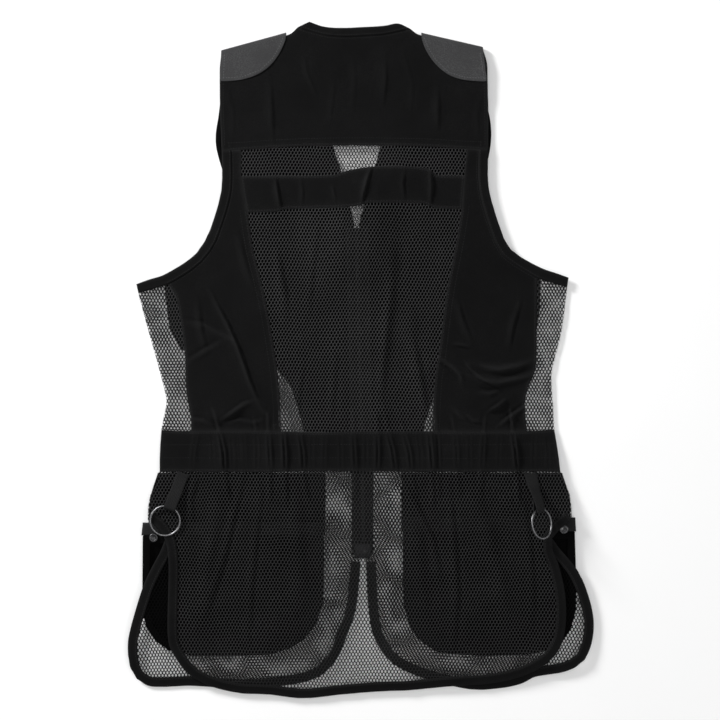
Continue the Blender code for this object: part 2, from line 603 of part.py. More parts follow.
def loop_faces(loop):
    """Triangles inside a loop, as numbers of the loop's own points."""
    number = {tuple(round(c, 6) for c in p): i for i, p in enumerate(loop)}
    flat, faces = triangulate(loop, [], False)
    order = [number[tuple(round(c, 6) for c in p)] for p in flat]
    return [tuple(order[k] for k in f) for f in faces]


def pouch(side, material):
    """The pocket's outer cloth: a floor with its gusset folded down round it as a rim."""
    loop = shrunk(counterclockwise([place(*p) for p in POUCHES[side]]), SEAM_GAP / 2)
    inner = shrunk(loop, POCKET_RIM_WIDTH)
    n = len(loop)
    verts = [(p.x, p.y, POCKET_RIM) for p in loop] + [(p.x, p.y, 0.0) for p in loop]
    verts += [(p.x, p.y, POCKET_RIM) for p in inner] + [(p.x, p.y, POCKET_FLOOR) for p in inner]
    skin = [(n + c, n + b, n + a) for a, b, c in loop_faces(loop)]
    skin += [(3 * n + a, 3 * n + b, 3 * n + c) for a, b, c in loop_faces(inner)]
    for i in range(n):
        j = (i + 1) % n
        skin += [(i, n + i, n + j), (i, n + j, j)]
        skin += [(i, j, 2 * n + j), (i, 2 * n + j, 2 * n + i)]
        skin += [(2 * n + i, 2 * n + j, 3 * n + j), (2 * n + i, 3 * n + j, 3 * n + i)]
    return make_object("pocket_" + side, verts, skin, material)


def from_bmesh(name, bm, material):
    mesh = bpy.data.meshes.new(name)
    bm.to_mesh(mesh)
    bm.free()
    mesh.materials.append(material)
    obj = bpy.data.objects.new(name, mesh)
    bpy.context.scene.collection.objects.link(obj)
    return obj


def disc(name, centre, radius, low, high, material):
    bm = bmesh.new()
    bmesh.ops.create_cone(bm, cap_ends=True, segments=16, radius1=radius, radius2=radius * 0.8,
                          depth=high - low)
    bmesh.ops.translate(bm, verts=bm.verts, vec=(centre.x, centre.y, (low + high) / 2))
    return from_bmesh(name, bm, material)


def strap_frame(side):
    """Where a ring hangs: the loop's axis point, the way along the strap, its width and its face."""
    x0, y0, x1, y1, dip, turn = STRAPS[side]
    start, end = place(x0, y0), place(x1, y1)
    along = (end - start).normalized()
    along = Vector((along.x, along.y, 0))
    across = Vector((0, 0, 1)).cross(along)
    face = Vector((0, 0, 1))
    turned = Matrix.Rotation(math.radians(-turn), 3, along)
    ring_way = Matrix.Rotation(math.radians(dip), 3, across) @ along
    free_end = height("back", end + 2 * RING_RADIUS * along.xy) + CLOTH
    beside_it = max(height("back", end + RING_RADIUS * (along.xy + s * across.xy)) + CLOTH
                    for s in (-1, 0, 1))
    below_loop = max(height("back", end + s * STRAP_WIDTH / 2 * across.xy) + CLOTH for s in (-1, 0, 1))
    drop = 2 * RING_RADIUS * math.sin(math.radians(dip)) + WIRE_RADIUS + 2 * SEAM_GAP
    tilt = RING_RADIUS * math.sin(math.radians(turn)) + WIRE_RADIUS + 2 * SEAM_GAP
    loop = LOOP_BORE + STRAP_THICK + SEAM_GAP
    axis_point = Vector((end.x, end.y, max(free_end + drop, beside_it + tilt, below_loop + loop)))
    return start, axis_point, along, turned @ across, turned @ face, ring_way


def ring(side, material):
    """A round wire ring through the loop of its strap."""
    _, axis_point, _, across, _, ring_way = strap_frame(side)
    sagitta = RING_RADIUS - math.sqrt(RING_RADIUS ** 2 - (STRAP_WIDTH / 2) ** 2)
    centre = axis_point + ring_way * (RING_RADIUS - sagitta / 2)
    normal = across.cross(ring_way).normalized()
    verts, faces, turns, sides = [], [], 30, 8
    for i in range(turns):
        a = 2 * math.pi * i / turns
        out = math.cos(a) * ring_way + math.sin(a) * across
        for k in range(sides):
            b = 2 * math.pi * (k + 0.5) / sides
            verts.append(centre + out * (RING_RADIUS + WIRE_RADIUS * math.cos(b))
                         + normal * WIRE_RADIUS * math.sin(b))
    for i in range(turns):
        for k in range(sides):
            a, b = i * sides + k, i * sides + (k + 1) % sides
            c, d = (i + 1) % turns * sides + (k + 1) % sides, (i + 1) % turns * sides + k
            faces += [(a, b, c), (a, c, d)]
    local = [v - axis_point for v in verts]
    obj = make_object("ring_" + side, local, faces, material)
    obj.location = axis_point
    outward(obj)
    return obj


def strap(side, material):
    """The webbing strap: from the waistband, round the ring's wire and back below itself."""
    start, axis_point, along, across, face, _ = strap_frame(side)
    turn = STRAPS[side][5]
    level = Vector((0, 0, 1)).cross(along)
    middle = LOOP_BORE + STRAP_THICK / 2
    above = CLOTH + SEAM_GAP + STRAP_THICK / 2
    first = height("back", start) + above
    top_end = axis_point + middle * face
    rows = []
    for i in range(7):
        t = i / 6
        flat = start.lerp(top_end.xy, t)
        wide = Matrix.Rotation(math.radians(-turn) * ease((t - 0.1) / 0.6), 3, along) @ level
        surface = height("back", flat) + above + STRAP_WIDTH / 2 * abs(wide.z)
        z = max(first + (top_end.z - first) * ease((t - 0.15) / 0.85), surface)
        rows.append((Vector((flat.x, flat.y, z)) if i < 6 else top_end, wide))
    for degrees in (60, 30, 0, -30, -60, -90):
        a = math.radians(degrees)
        rows.append((axis_point + middle * (math.cos(a) * along + math.sin(a) * face), across))
    under = STRAP_THICK + SEAM_GAP
    for i, below in ((5, (2 * middle + under) / 2), (4, under)):
        p, wide = rows[i]
        up = (rows[i + 1][0] - rows[i - 1][0]).normalized().cross(wide).normalized()
        rows.append((p - below * up, wide))
    verts, faces, n = [], [], len(rows)
    for i, (p, wide) in enumerate(rows):
        ahead = (rows[min(i + 1, n - 1)][0] - rows[max(i - 1, 0)][0]).normalized()
        normal = wide.cross(ahead).normalized()
        for s, h in ((-1, 1), (1, 1), (1, -1), (-1, -1)):
            verts.append(p + s * STRAP_WIDTH / 2 * wide + h * STRAP_THICK / 2 * normal)
    for i in range(n - 1):
        for k in range(4):
            a, b = 4 * i + k, 4 * i + (k + 1) % 4
            faces += [(a, b, b + 4), (a, b + 4, a + 4)]
    last = 4 * (n - 1)
    faces += [(0, 2, 1), (0, 3, 2), (last, last + 1, last + 2), (last, last + 2, last + 3)]
    obj = make_object("ring_strap_" + side, verts, faces, material)
    outward(obj)
    return obj


def block(name, sizes, centre, material, bevel=0.0):
    bm = bmesh.new()
    bmesh.ops.create_cube(bm, size=1.0)
    bmesh.ops.scale(bm, verts=bm.verts, vec=sizes)
    if bevel:
        upright = [e for e in bm.edges if abs(e.verts[0].co.z - e.verts[1].co.z) > sizes[2] / 2]
        bmesh.ops.bevel(bm, geom=upright, offset=bevel, segments=2, affect="EDGES")
    bmesh.ops.translate(bm, verts=bm.verts, vec=centre)
    return from_bmesh(name, bm, material)


def on_front(name, loop, thick, material):
    """A wall that lies on the front pieces' inner face."""
    flat, faces = triangulate(counterclockwise(loop), [], True)
    low = [height("front", p) + CLOTH + SEAM_GAP for p in flat]
    wall(name, flat, faces, low, [z + thick for z in low], material)


def zip_parts(cloth, metal):
    """The closed zip: its tape inside the fronts, its end box, and the slider with its pull below."""
    left, right = ([place(*p) for p in side] for side in ZIP_TAPE)
    on_front("zip_tape", right + left[::-1], ZIP_TAPE_THICK, cloth)
    x0, y0, x1, y1 = ZIP_END
    corners = [place(x0, y1), place(x1, y1), place(x1, y0), place(x0, y0)]
    on_front("zip_end", corners, ZIP_END_THICK, metal)
    at = place(*SLIDER_AT)
    middle = SLIDER_LOW + SLIDER_SIZE[2] / 2
    slider = block("zip_slider", SLIDER_SIZE, (at.x, at.y, middle), metal, SLIDER_ROUND)
    for s in (-1, 1):
        ear = block("ear", EAR_SIZE,
                    (at.x + s * EARS_APART / 2, at.y + EAR_AHEAD, SLIDER_LOW - 0.0008), metal)
        join = slider.modifiers.new("ear", "BOOLEAN")
        join.operation = "UNION"
        join.object = ear
        ear.hide_render = True
        ear.display_type = "WIRE"
    wide, neck, half = PULL_WIDTH / 2, PULL_NECK / 2, PULL_THICK / 2
    shape = [(-neck, half), (-neck, -0.0045), (-wide, -0.0065), (-wide, 0.0015 - PULL_LENGTH),
             (0.0015 - wide, -PULL_LENGTH), (wide - 0.0015, -PULL_LENGTH), (wide, 0.0015 - PULL_LENGTH),
             (wide, -0.0065), (neck, -0.0045), (neck, half)]
    points, faces = triangulate([Vector(p) for p in shape], [], False)
    pull = wall("zip_pull", points, faces, [-half] * len(points), [half] * len(points), metal)
    pull.location = (at.x, at.y + EAR_AHEAD, PULL_LOW + half)


def build():
    made = {}
    for name, (colour, rough, metallic) in MATERIALS.items():
        material = bpy.data.materials.new(name)
        material.use_nodes = True
        shader = material.node_tree.nodes["Principled BSDF"]
        shader.inputs["Base Color"].default_value = colour
        shader.inputs["Roughness"].default_value = rough
        shader.inputs["Metallic"].default_value = metallic
        made[name] = material

    def own(name, kind):
        copy = made[kind].copy()
        copy.name = name + "_" + kind
        return copy

    for name, (lines, layer, thick, kind) in PANELS.items():
        panel(name, lines, layer, thick, own(name, kind))
    for side in ("left", "right"):
        side_panel(side, own("side_mesh_" + side, "mesh"))
        shoulder_patch(side, own("shoulder_patch_" + side, "patch"))
        pouch(side, own("pocket_" + side, "twill"))
        band, flap = "pocket_band_" + side, "pocket_flap_" + side
        flat_piece(band, BANDS[side], 0.0, POCKET_RIM, own(band, "patch"))
        flat_piece(flap, FLAPS[side], 0.0, FLAP_THICK, own(flap, "twill"))
        strap(side, own("ring_strap_" + side, "binding"))
        ring(side, own("ring_" + side, "metal"))
        x, y, seat = SNAPS[side]
        low = seat + SEAM_GAP
        snap = "snap_" + side
        disc(snap, place(x, y), SNAP_RADIUS, low, low + SNAP_THICK, own(snap, "metal"))
    zip_parts(own("zip", "plastic"), own("zip", "metal"))


build()
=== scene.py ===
# %% [markdown]
# # A lady's shooting vest with a mesh back, laid flat
# The vest lies on its closed front and shows its back: a twill yoke, twill side panels, a cross band
# and an elastic waistband round open mesh, with a long mesh skirt below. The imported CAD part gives
# each piece its outline and its height. This lesson turns each of those plain walls into cloth.

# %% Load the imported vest
import json
import math

import bmesh
import bpy
import numpy as np
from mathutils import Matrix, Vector
from mathutils.bvhtree import BVHTree
from mathutils.geometry import delaunay_2d_cdt


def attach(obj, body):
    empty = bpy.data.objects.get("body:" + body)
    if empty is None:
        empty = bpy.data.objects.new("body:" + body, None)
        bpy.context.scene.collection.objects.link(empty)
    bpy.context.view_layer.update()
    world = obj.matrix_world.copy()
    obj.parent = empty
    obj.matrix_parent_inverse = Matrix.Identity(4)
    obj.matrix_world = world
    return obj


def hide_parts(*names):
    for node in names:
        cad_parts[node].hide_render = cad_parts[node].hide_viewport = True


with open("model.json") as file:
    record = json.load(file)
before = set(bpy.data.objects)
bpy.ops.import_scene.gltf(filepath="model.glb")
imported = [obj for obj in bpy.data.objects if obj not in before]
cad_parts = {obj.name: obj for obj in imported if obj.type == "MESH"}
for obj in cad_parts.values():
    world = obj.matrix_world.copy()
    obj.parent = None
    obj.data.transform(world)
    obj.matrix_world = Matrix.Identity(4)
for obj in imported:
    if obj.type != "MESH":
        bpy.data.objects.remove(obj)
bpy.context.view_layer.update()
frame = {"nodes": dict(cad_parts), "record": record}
cad = frame["nodes"]
print("loaded", len(cad), "pieces")

# %% [markdown]
# ## Reading the outlines
# A plan position is easiest to name by its pixel in the photograph, so `at` turns pixels into metres.
# The frame's meshes are loose triangles, so a copy is merged first. The border of the faces that look
# down is then the outline of a piece, as a maker would cut it.

# %% Plan positions and outlines
PIXEL = 0.705 / 678
MIDDLE_X, MIDDLE_Y = 360.5, 360.0
CORNER = math.radians(32)
SIDES = ("left", "right")


def at(points):
    """Pixels of the photograph as metres on the plane."""
    return np.array([((x - MIDDLE_X) * PIXEL, (MIDDLE_Y - y) * PIXEL) for x, y in points])


def merged(name):
    bm = bmesh.new()
    bm.from_mesh(cad[name].data)
    bm.transform(cad[name].matrix_world)
    bmesh.ops.remove_doubles(bm, verts=bm.verts, dist=1e-6)
    return bm


def shoelace(loop):
    ahead = np.roll(loop, -1, axis=0)
    return float((loop[:, 0] * ahead[:, 1] - ahead[:, 0] * loop[:, 1]).sum() / 2)


def outline(name, facing=-1, low=-1.0, high=1.0):
    """The largest border of a piece's faces that look down (-1) or up (1), between two heights."""
    bm = merged(name)
    chosen = {f for f in bm.faces if f.normal.z * facing > 0.3 and low < f.calc_center_median().z < high}
    follow = {}
    for f in chosen:
        for corner in f.loops:
            if not any(g in chosen for g in corner.edge.link_faces if g is not f):
                follow[corner.vert.index] = corner.link_loop_next.vert.index
    bm.verts.ensure_lookup_table()
    best, best_area = None, 0.0
    while follow:
        first, k = follow.popitem()
        loop = [first]
        while k != first and k in follow:
            loop.append(k)
            k = follow.pop(k)
        points = np.array([bm.verts[i].co[:2] for i in loop])
        if abs(shoelace(points)) > abs(best_area):
            best, best_area = points, shoelace(points)
    bm.free()
    return best if best_area > 0 else best[::-1]


def unit(way):
    return way / np.maximum(np.hypot(way[:, 0], way[:, 1]), 1e-9)[:, None]


def smooth_outline(loop, spacing):
    """The outline as a smooth line through its points, sharp only at its corners."""
    ahead, behind = np.roll(loop, -1, axis=0), np.roll(loop, 1, axis=0)
    a, b = loop - behind, ahead - loop
    turn = np.abs(np.arctan2(a[:, 0] * b[:, 1] - a[:, 1] * b[:, 0], (a * b).sum(1)))
    way = unit(ahead - behind)
    out = []
    for k in range(len(loop)):
        n = (k + 1) % len(loop)
        side = loop[n] - loop[k]
        length = math.hypot(*side)
        start, end = (side if turn[i] > CORNER else way[i] * length for i in (k, n))
        steps = max(1, math.ceil(length / spacing))
        for i in range(steps):
            t = i / steps
            out.append((2 * t ** 3 - 3 * t * t + 1) * loop[k] + (t ** 3 - 2 * t * t + t) * start
                       + (3 * t * t - 2 * t ** 3) * loop[n] + (t ** 3 - t * t) * end)
    return np.array(out)


def inset(loop, width):
    """A counterclockwise outline with each side moved inwards."""
    a, b = unit(loop - np.roll(loop, 1, axis=0)), unit(np.roll(loop, -1, axis=0) - loop)
    middle = np.stack([-a[:, 1] - b[:, 1], a[:, 0] + b[:, 0]], axis=1)
    return loop + middle * (2 * width / np.maximum((middle ** 2).sum(1), 0.8))[:, None]


def from_line(points, line):
    """How far each point is from an open line."""
    best = np.full(len(points), 9.0)
    for start, end in zip(line, line[1:]):
        way = end - start
        t = np.clip((points - start) @ way / max(way @ way, 1e-12), 0, 1)
        away = points - start - t[:, None] * way
        best = np.minimum(best, np.hypot(away[:, 0], away[:, 1]))
    return best


def from_edge(points, loop):
    return from_line(points, np.concatenate([loop, loop[:1]]))


def inside(points, loop):
    x, y = points[:, 0], points[:, 1]
    odd = np.zeros(len(points), bool)
    for (x0, y0), (x1, y1) in zip(loop, np.roll(loop, -1, axis=0)):
        if y0 != y1:
            odd ^= ((y0 > y) != (y1 > y)) & (x < (x1 - x0) * (y - y0) / (y1 - y0) + x0)
    return odd


outlines = {name: outline(name) for name in cad if not name.startswith(("ring_", "snap_"))}
for side in SIDES:
    outlines["side_flap_" + side] = outline("side_mesh_" + side, 1, low=0.0016)
print(len(outlines), "outlines")

# %% [markdown]
# ## How high the cloth lies
# Back pieces lie on front pieces, and those lie on the pockets. Rays shot up from below find the
# underside of each layer. A light blur turns the frame's facets into the soft slopes of cloth, and one
# shared map for a whole layer keeps neighbouring pieces level with each other at their seams.

# %% One height map for each layer
MAP_STEP = 0.002
MAP_X = np.arange(-0.262, 0.2621, MAP_STEP)
MAP_Y = np.arange(-0.372, 0.3721, MAP_STEP)


def blur(field, cells):
    """Blurs down the columns, turns the map over, and does so again."""
    reach = int(3 * cells) + 1
    weights = np.exp(-0.5 * (np.arange(-reach, reach + 1) / cells) ** 2)
    weights /= weights.sum()
    for _ in range(2):
        wide, size = np.pad(field, ((reach, reach), (0, 0)), mode="edge"), len(field)
        field = sum(w * wide[i:i + size] for i, w in enumerate(weights)).T
    return field


def layer_map(starts, soften):
    """The underside of the pieces whose names start so, filled out and blurred."""
    verts, faces = [], []
    for name, piece in cad.items():
        if name.startswith(starts):
            first = len(verts)
            verts += [piece.matrix_world @ v.co for v in piece.data.vertices]
            faces += [[first + k for k in p.vertices] for p in piece.data.polygons]
    tree, up = BVHTree.FromPolygons(verts, faces), Vector((0, 0, 1))
    found = np.full((len(MAP_Y), len(MAP_X)), np.nan)
    for j, y in enumerate(MAP_Y):
        for i, x in enumerate(MAP_X):
            hit = tree.ray_cast(Vector((x, y, -0.01)), up, 0.1)[0]
            if hit:
                found[j, i] = hit.z
    known = ~np.isnan(found)
    found = np.where(known, found, 0.0)
    field, done = found, known
    for cells in (2, 6, 20):
        share = blur(known.astype(float), cells)
        new = ~done & (share > 1e-3)
        field = np.where(new, blur(found, cells) / np.maximum(share, 1e-9), field)
        done = done | new
    return blur(field, soften)


def between(table, x, y, ease=lambda t: t):
    """A table's values between its cells. It repeats past its borders."""
    i, j = np.floor(x).astype(int), np.floor(y).astype(int)
    u, v = ease(x - i), ease(y - j)
    rows, columns = table.shape
    (a, b), (c, d) = [[table[m % rows, n % columns] for n in (i, i + 1)] for m in (j, j + 1)]
    return (a * (1 - u) + b * u) * (1 - v) + (c * (1 - u) + d * u) * v


def read_map(field, points):
    x = np.clip((points[:, 0] - MAP_X[0]) / MAP_STEP, 0, len(MAP_X) - 1.001)
    y = np.clip((points[:, 1] - MAP_Y[0]) / MAP_STEP, 0, len(MAP_Y) - 1.001)
    return between(field, x, y)


back_map = layer_map(("back", "neck", "side_back", "armhole", "waist"), 1.1)
front_map = layer_map("front", 1.5)
print("back lies up to", round(float(back_map.max()) * 1000, 1), "mm high")

# %% [markdown]
# ## Creases
# Cloth that was folded for shipping and smoothed out by hand keeps creases. Each crease here is a short
# list of points with a height and a width: a rounded ridge with a narrow valley beside it, which is how
# bent cloth lies. The waistband's elastic pulls the cloth into gathers, so short creases run out of it
# above and below. Fine noise adds the unevenness of worn twill.

# %% Crease tables
# columns: height and half width in mm, then x and y of each point in pixels of the photograph. The
# valley is on the left of the line's run, and a height below zero is a valley between two ridges.
BACK_CREASES = (
    (1.5, 2.6, 209, 290, 218, 308, 227, 325, 236, 345, 243, 364, 249, 382, 256, 398, 265, 406),
    (0.8, 3.4, 184, 322, 204, 326, 224, 336, 240, 345),
    (0.9, 3.4, 188, 362, 204, 352, 222, 342),
    (1.1, 2.8, 221, 421, 232, 413, 243, 405, 254, 401),
    (0.9, 2.6, 188, 419, 203, 421, 214, 427),
    (0.8, 2.6, 226, 424, 240, 420, 252, 423, 264, 420),
    (0.6, 2.8, 254, 398, 262, 410, 272, 420),
    (0.7, 4.0, 236, 232, 243, 262, 252, 290),
    (0.7, 4.0, 196, 300, 199, 330, 205, 352),
    (1.5, 2.6, 463, 384, 460, 375, 452, 367, 440, 359),
    (1.1, 2.0, 502, 388, 490, 383, 478, 376, 470, 368, 465, 361),
    (0.9, 2.2, 470, 347, 462, 345, 453, 344),
    (-1.6, 4.4, 474, 369, 486, 374, 500, 376, 520, 372, 536, 367),
    (1.1, 3.0, 478, 392, 490, 394, 501, 391),
    (1.2, 2.4, 488, 412, 498, 406, 507, 399),
    (1.2, 2.4, 498, 427, 509, 418, 522, 409, 531, 403),
    (0.8, 2.4, 468, 421, 461, 417, 452, 407),
    (0.8, 2.4, 481, 422, 474, 421, 466, 414),
    (0.7, 3.4, 456, 300, 462, 322, 471, 342),
    (0.7, 3.4, 520, 300, 512, 326, 508, 350),
    (0.9, 3.4, 268, 74, 270, 100, 271, 125, 272, 146),
    (0.9, 3.4, 437, 84, 437, 108, 437, 134),
    (0.9, 3.0, 303, 56, 306, 72, 311, 84, 316, 96),
    (0.8, 3.0, 384, 56, 385, 76, 382, 106),
    (0.6, 3.0, 334, 80, 331, 104, 328, 126),
    (0.5, 3.4, 352, 52, 354, 82, 351, 118),
    (0.6, 3.4, 226, 90, 232, 112, 231, 140),
    (0.6, 3.4, 482, 90, 476, 114, 478, 140),
    (0.5, 3.0, 403, 52, 412, 84, 409, 118),
    (1.4, 2.2, 371, 167, 366, 182, 363, 194, 361, 205),
    (0.7, 2.0, 332, 186, 334, 194, 335, 202),
    (1.1, 2.4, 275, 178, 277, 194, 280, 209),
    (1.1, 2.4, 430, 168, 431, 186, 430, 204),
    (0.6, 2.4, 300, 178, 302, 192, 301, 206),
    (0.6, 2.4, 404, 170, 402, 184, 404, 200),
    (0.9, 3.6, 392, 280, 385, 343, 380, 398),
    (1.0, 3.4, 412, 337, 422, 390, 427, 424),
    (0.9, 3.6, 276, 250, 281, 280, 286, 306),
    (0.6, 3.6, 318, 222, 312, 262, 307, 320),
    (0.6, 3.6, 336, 350, 333, 386, 330, 426),
    (0.7, 3.4, 303, 360, 298, 392, 296, 428),
    (1.2, 3.8, 243, 474, 232, 520, 222, 560, 206, 610),
    (0.9, 4.0, 262, 478, 256, 530, 250, 590, 247, 650),
    (0.8, 4.0, 322, 478, 330, 520, 336, 560, 333, 610),
    (0.9, 4.0, 392, 480, 386, 520, 382, 560, 386, 610),
    (1.2, 3.4, 402, 478, 410, 494, 418, 510, 432, 540, 440, 580),
    (1.0, 4.0, 447, 480, 452, 530, 456, 590, 452, 650),
    (0.8, 4.0, 520, 484, 528, 540, 532, 590, 530, 640),
    (1.3, 2.8, 465, 474, 482, 486, 503, 500, 521, 514),
    (1.0, 3.2, 196, 476, 190, 500, 192, 524),
)
YOKE_END, YOKE_CALM, BACK_LIVELY = 150, 0.5, 1.1
# columns: x at the band's top, x at its lower edge, height in mm
GATHERS = ((196, 192, 0.6), (211, 213, 0.5), (219, 224, 1.3), (231, 233, 0.6), (243, 245, 0.5),
           (256, 257, 0.7), (268, 270, 1.0), (283, 285, 1.3), (299, 303, 1.1), (312, 312, 0.6),
           (325, 324, 0.6), (340, 341, 0.6), (353, 355, 0.9), (366, 366, 0.6), (377, 377, 1.0),
           (388, 395, 1.1), (404, 411, 1.0), (418, 421, 0.6), (429, 432, 1.3), (437, 438, 0.9),
           (455, 457, 0.7), (470, 470, 0.5), (484, 482, 0.7), (500, 499, 0.5), (513, 517, 1.3),
           (535, 534, 0.6), (547, 549, 0.5))
BAND_TOP, BAND_LOW = 431.5, 471.8


def gather_creases():
    """A groove across the band for each gather, and ridges above and below the deeper ones."""
    rows = []
    for k, (top, low, h) in enumerate(GATHERS):
        lean = (low - top) * 0.4 + (k % 3 - 1) * 0.7
        reach = 8 + 12 * h
        middle = ((top + low) / 2 + lean / 2, (BAND_TOP + BAND_LOW) / 2)
        rows.append((-h ** 1.5, 1.5, ((top, BAND_TOP + 2), middle, (low, BAND_LOW - 2))))
        if h >= 0.7:
            rows.append((h, 2.2, ((top + 0.5, BAND_TOP + 2), (top - lean, BAND_TOP - reach / 2),
                                  (top - 2.6 * lean, BAND_TOP - reach))))
            rows.append((h, 2.5, ((low - 0.5, BAND_LOW - 2), (low + lean, BAND_LOW + reach * 0.7),
                                  (low + 2.6 * lean, BAND_LOW + reach * 1.5))))
    return rows


def crease_height(points, table):
    """How far a table of creases raises or lowers the cloth at each point, in metres."""
    raised = np.zeros(len(points))
    for h, w, ridge in table:
        near = ((points > ridge.min(0) - 4 * w) & (points < ridge.max(0) + 4 * w)).all(1)
        if not near.any():
            continue
        spot = points[near]
        steps = ridge[1:] - ridge[:-1]
        lengths = np.hypot(steps[:, 0], steps[:, 1])
        best, bump, run = np.full(len(spot), 9.0), np.zeros(len(spot)), 0.0
        for start, way, length in zip(ridge, steps, lengths):
            t = np.clip((spot - start) @ way / length ** 2, 0, 1)
            away = spot - start - t[:, None] * way
            far = np.hypot(away[:, 0], away[:, 1])
            hand = np.sign(way[0] * away[:, 1] - way[1] * away[:, 0]) * far / w
            share = (run + t * length) / lengths.sum()
            swell = np.sin(np.pi * np.clip(share, 0.02, 0.98)) ** 0.6
            if h < 0:
                shape = 0.4 * np.exp(-(hand / 0.5) ** 2) - np.exp(-((np.abs(hand) - 1.5) / 0.75) ** 2)
            else:
                shape = np.exp(-hand ** 2) - 0.7 * np.exp(-((hand - 1.25) / 0.5) ** 2)
            bump = np.where(far < best, 1.5 * shape * swell, bump)
            best = np.minimum(best, far)
            run += length
        raised[near] += h / 1000 * bump
    return raised


def uneven(points, size, seed):
    """Smooth random values from 0 to 1, with lumps about as wide as size."""
    table = np.random.default_rng(seed).random((64, 64))
    x, y = points[:, 0] / size + 500.0, points[:, 1] / size + 500.0
    return between(table, x, y, lambda t: t * t * (3 - 2 * t))


BACK_TABLE = [(h * (YOKE_CALM if points[1] < YOKE_END else BACK_LIVELY), w, np.reshape(points, (-1, 2)))
              for h, w, *points in BACK_CREASES]
BACK_TABLE = [(h, w / 1000, at(ridge)) for h, w, ridge in BACK_TABLE + gather_creases()]


def back_height(points):
    return (read_map(back_map, points) + crease_height(points, BACK_TABLE)
            + 0.0009 * uneven(points, 0.034, 1) + 0.0004 * uneven(points, 0.012, 2)
            + 0.00012 * uneven(points, 0.005, 3))


def front_height(points):
    return (np.maximum(read_map(front_map, points), 0.0) + 0.0002 * uneven(points, 0.03, 4)
            + 0.0001 * uneven(points, 0.01, 5))


def floor_height(points):
    return 0.0001 * uneven(points, 0.01, 6)


print(len(BACK_TABLE), "creases")

# %% [markdown]
# ## Finishes
# Every finish is procedural. Effects that several finishes share are node groups: `Twill weave` gives
# fine diagonal ribs, `Yarn` the twisted threads of the net and the tapes, a cloth group mixes in a
# lighter tone at worn edges, along crease ridges and on the crest of the net's yarn, where it is a
# painted highlight, and `Handled metal` wears a dark plating. They read Object coordinates and an
# attribute that each piece keeps for the places of that lighter tone.

# %% Node helpers
def feed(tree, source, socket):
    """Joins a socket to an input, or sets the input's own value."""
    if hasattr(source, "links"):
        tree.links.new(source, socket)
    else:
        socket.default_value = source


def add(tree, kind, inputs=None, **settings):
    """A new node with its settings, and with its inputs fed by label or number."""
    node = tree.nodes.new(kind)
    for key, value in settings.items():
        setattr(node, key, value)
    for label, source in (inputs or {}).items():
        feed(tree, source, node.inputs[label])
    return node


def maths(tree, operation, *sources, kind="ShaderNodeMath"):
    return add(tree, kind, dict(enumerate(sources)), operation=operation).outputs[0]


def new_group(name, kind, inputs, outputs):
    """A node group. Each socket is a kind of socket, or a number that a float input starts with."""
    tree = bpy.data.node_groups.new(name, kind)
    for way, sockets in (("INPUT", inputs), ("OUTPUT", outputs)):
        for label, value in sockets.items():
            number = isinstance(value, float)
            made = tree.interface.new_socket(label, in_out=way,
                                             socket_type="NodeSocket" + ("Float" if number else value))
            if number:
                made.default_value = value
    return tree, add(tree, "NodeGroupInput").outputs, add(tree, "NodeGroupOutput").inputs


def ramp(tree, value, low, high):
    """0 below low and 1 above high, straight between them."""
    inputs = {"Value": value, "From Min": low, "From Max": high}
    return add(tree, "ShaderNodeMapRange", inputs, clamp=True).outputs["Result"]


def noise(tree, vector, scale, detail=2.0):
    inputs = {"Vector": vector, "Scale": scale, "Detail": detail}
    return add(tree, "ShaderNodeTexNoise", inputs).outputs["Fac"]


def mixed(tree, share, first, second):
    return add(tree, "ShaderNodeMix", {0: share, 6: first, 7: second}, data_type="RGBA").outputs[2]


print("node helpers ready")

# %% Shared shader effects
def twill_weave():
    tree, given, out = new_group("Twill weave", "ShaderNodeTree", {"Vector": "Vector", "Ribs": 420.0},
                                 {"Height": "Float"})
    slope = add(tree, "ShaderNodeMapping", {"Rotation": (0, 0, math.radians(63)), "Vector": given["Vector"]})
    waves = []
    for way, scale in (("X", given["Ribs"]), ("Y", maths(tree, "MULTIPLY", given["Ribs"], 1.7))):
        inputs = {"Vector": slope.outputs[0], "Scale": scale, "Distortion": 0.6, "Detail": 1.0}
        waves.append(add(tree, "ShaderNodeTexWave", inputs, bands_direction=way).outputs["Fac"])
    feed(tree, maths(tree, "MULTIPLY_ADD", waves[1], 0.35, waves[0]), out["Height"])
    return tree


def yarn():
    tree, given, out = new_group("Yarn", "ShaderNodeTree", {"Vector": "Vector", "Threads": 700.0},
                                 {"Height": "Float"})
    drawn = add(tree, "ShaderNodeMapping", {"Scale": (1.0, 0.35, 1.0), "Vector": given["Vector"]})
    feed(tree, noise(tree, drawn.outputs[0], given["Threads"]), out["Height"])
    return tree


def worn_and_sheen_cloth():
    tree, given, out = new_group("Rubbed cloth", "ShaderNodeTree", {
        "Vector": "Vector", "Rub": 0.0, "Cloth": "Color", "Worn": "Color", "Amount": 0.5},
        {"Color": "Color"})
    lint = ramp(tree, noise(tree, given["Vector"], 900.0, 3.0), 0.40, 0.72)
    broad = ramp(tree, noise(tree, given["Vector"], 26.0, 4.0), 0.30, 0.75)
    patchy = maths(tree, "MULTIPLY", maths(tree, "MULTIPLY", lint, broad), 0.45)
    # share of the lighter tone: wear at edges, lighter crease ridges, the painted highlight on the net's
    # yarn crests, and random lint and wear
    wear_and_sheen_share = maths(tree, "MULTIPLY_ADD", given["Rub"], 0.8, patchy)
    share = maths(tree, "MULTIPLY", wear_and_sheen_share, given["Amount"])
    feed(tree, mixed(tree, share, given["Cloth"], given["Worn"]), out["Color"])
    return tree


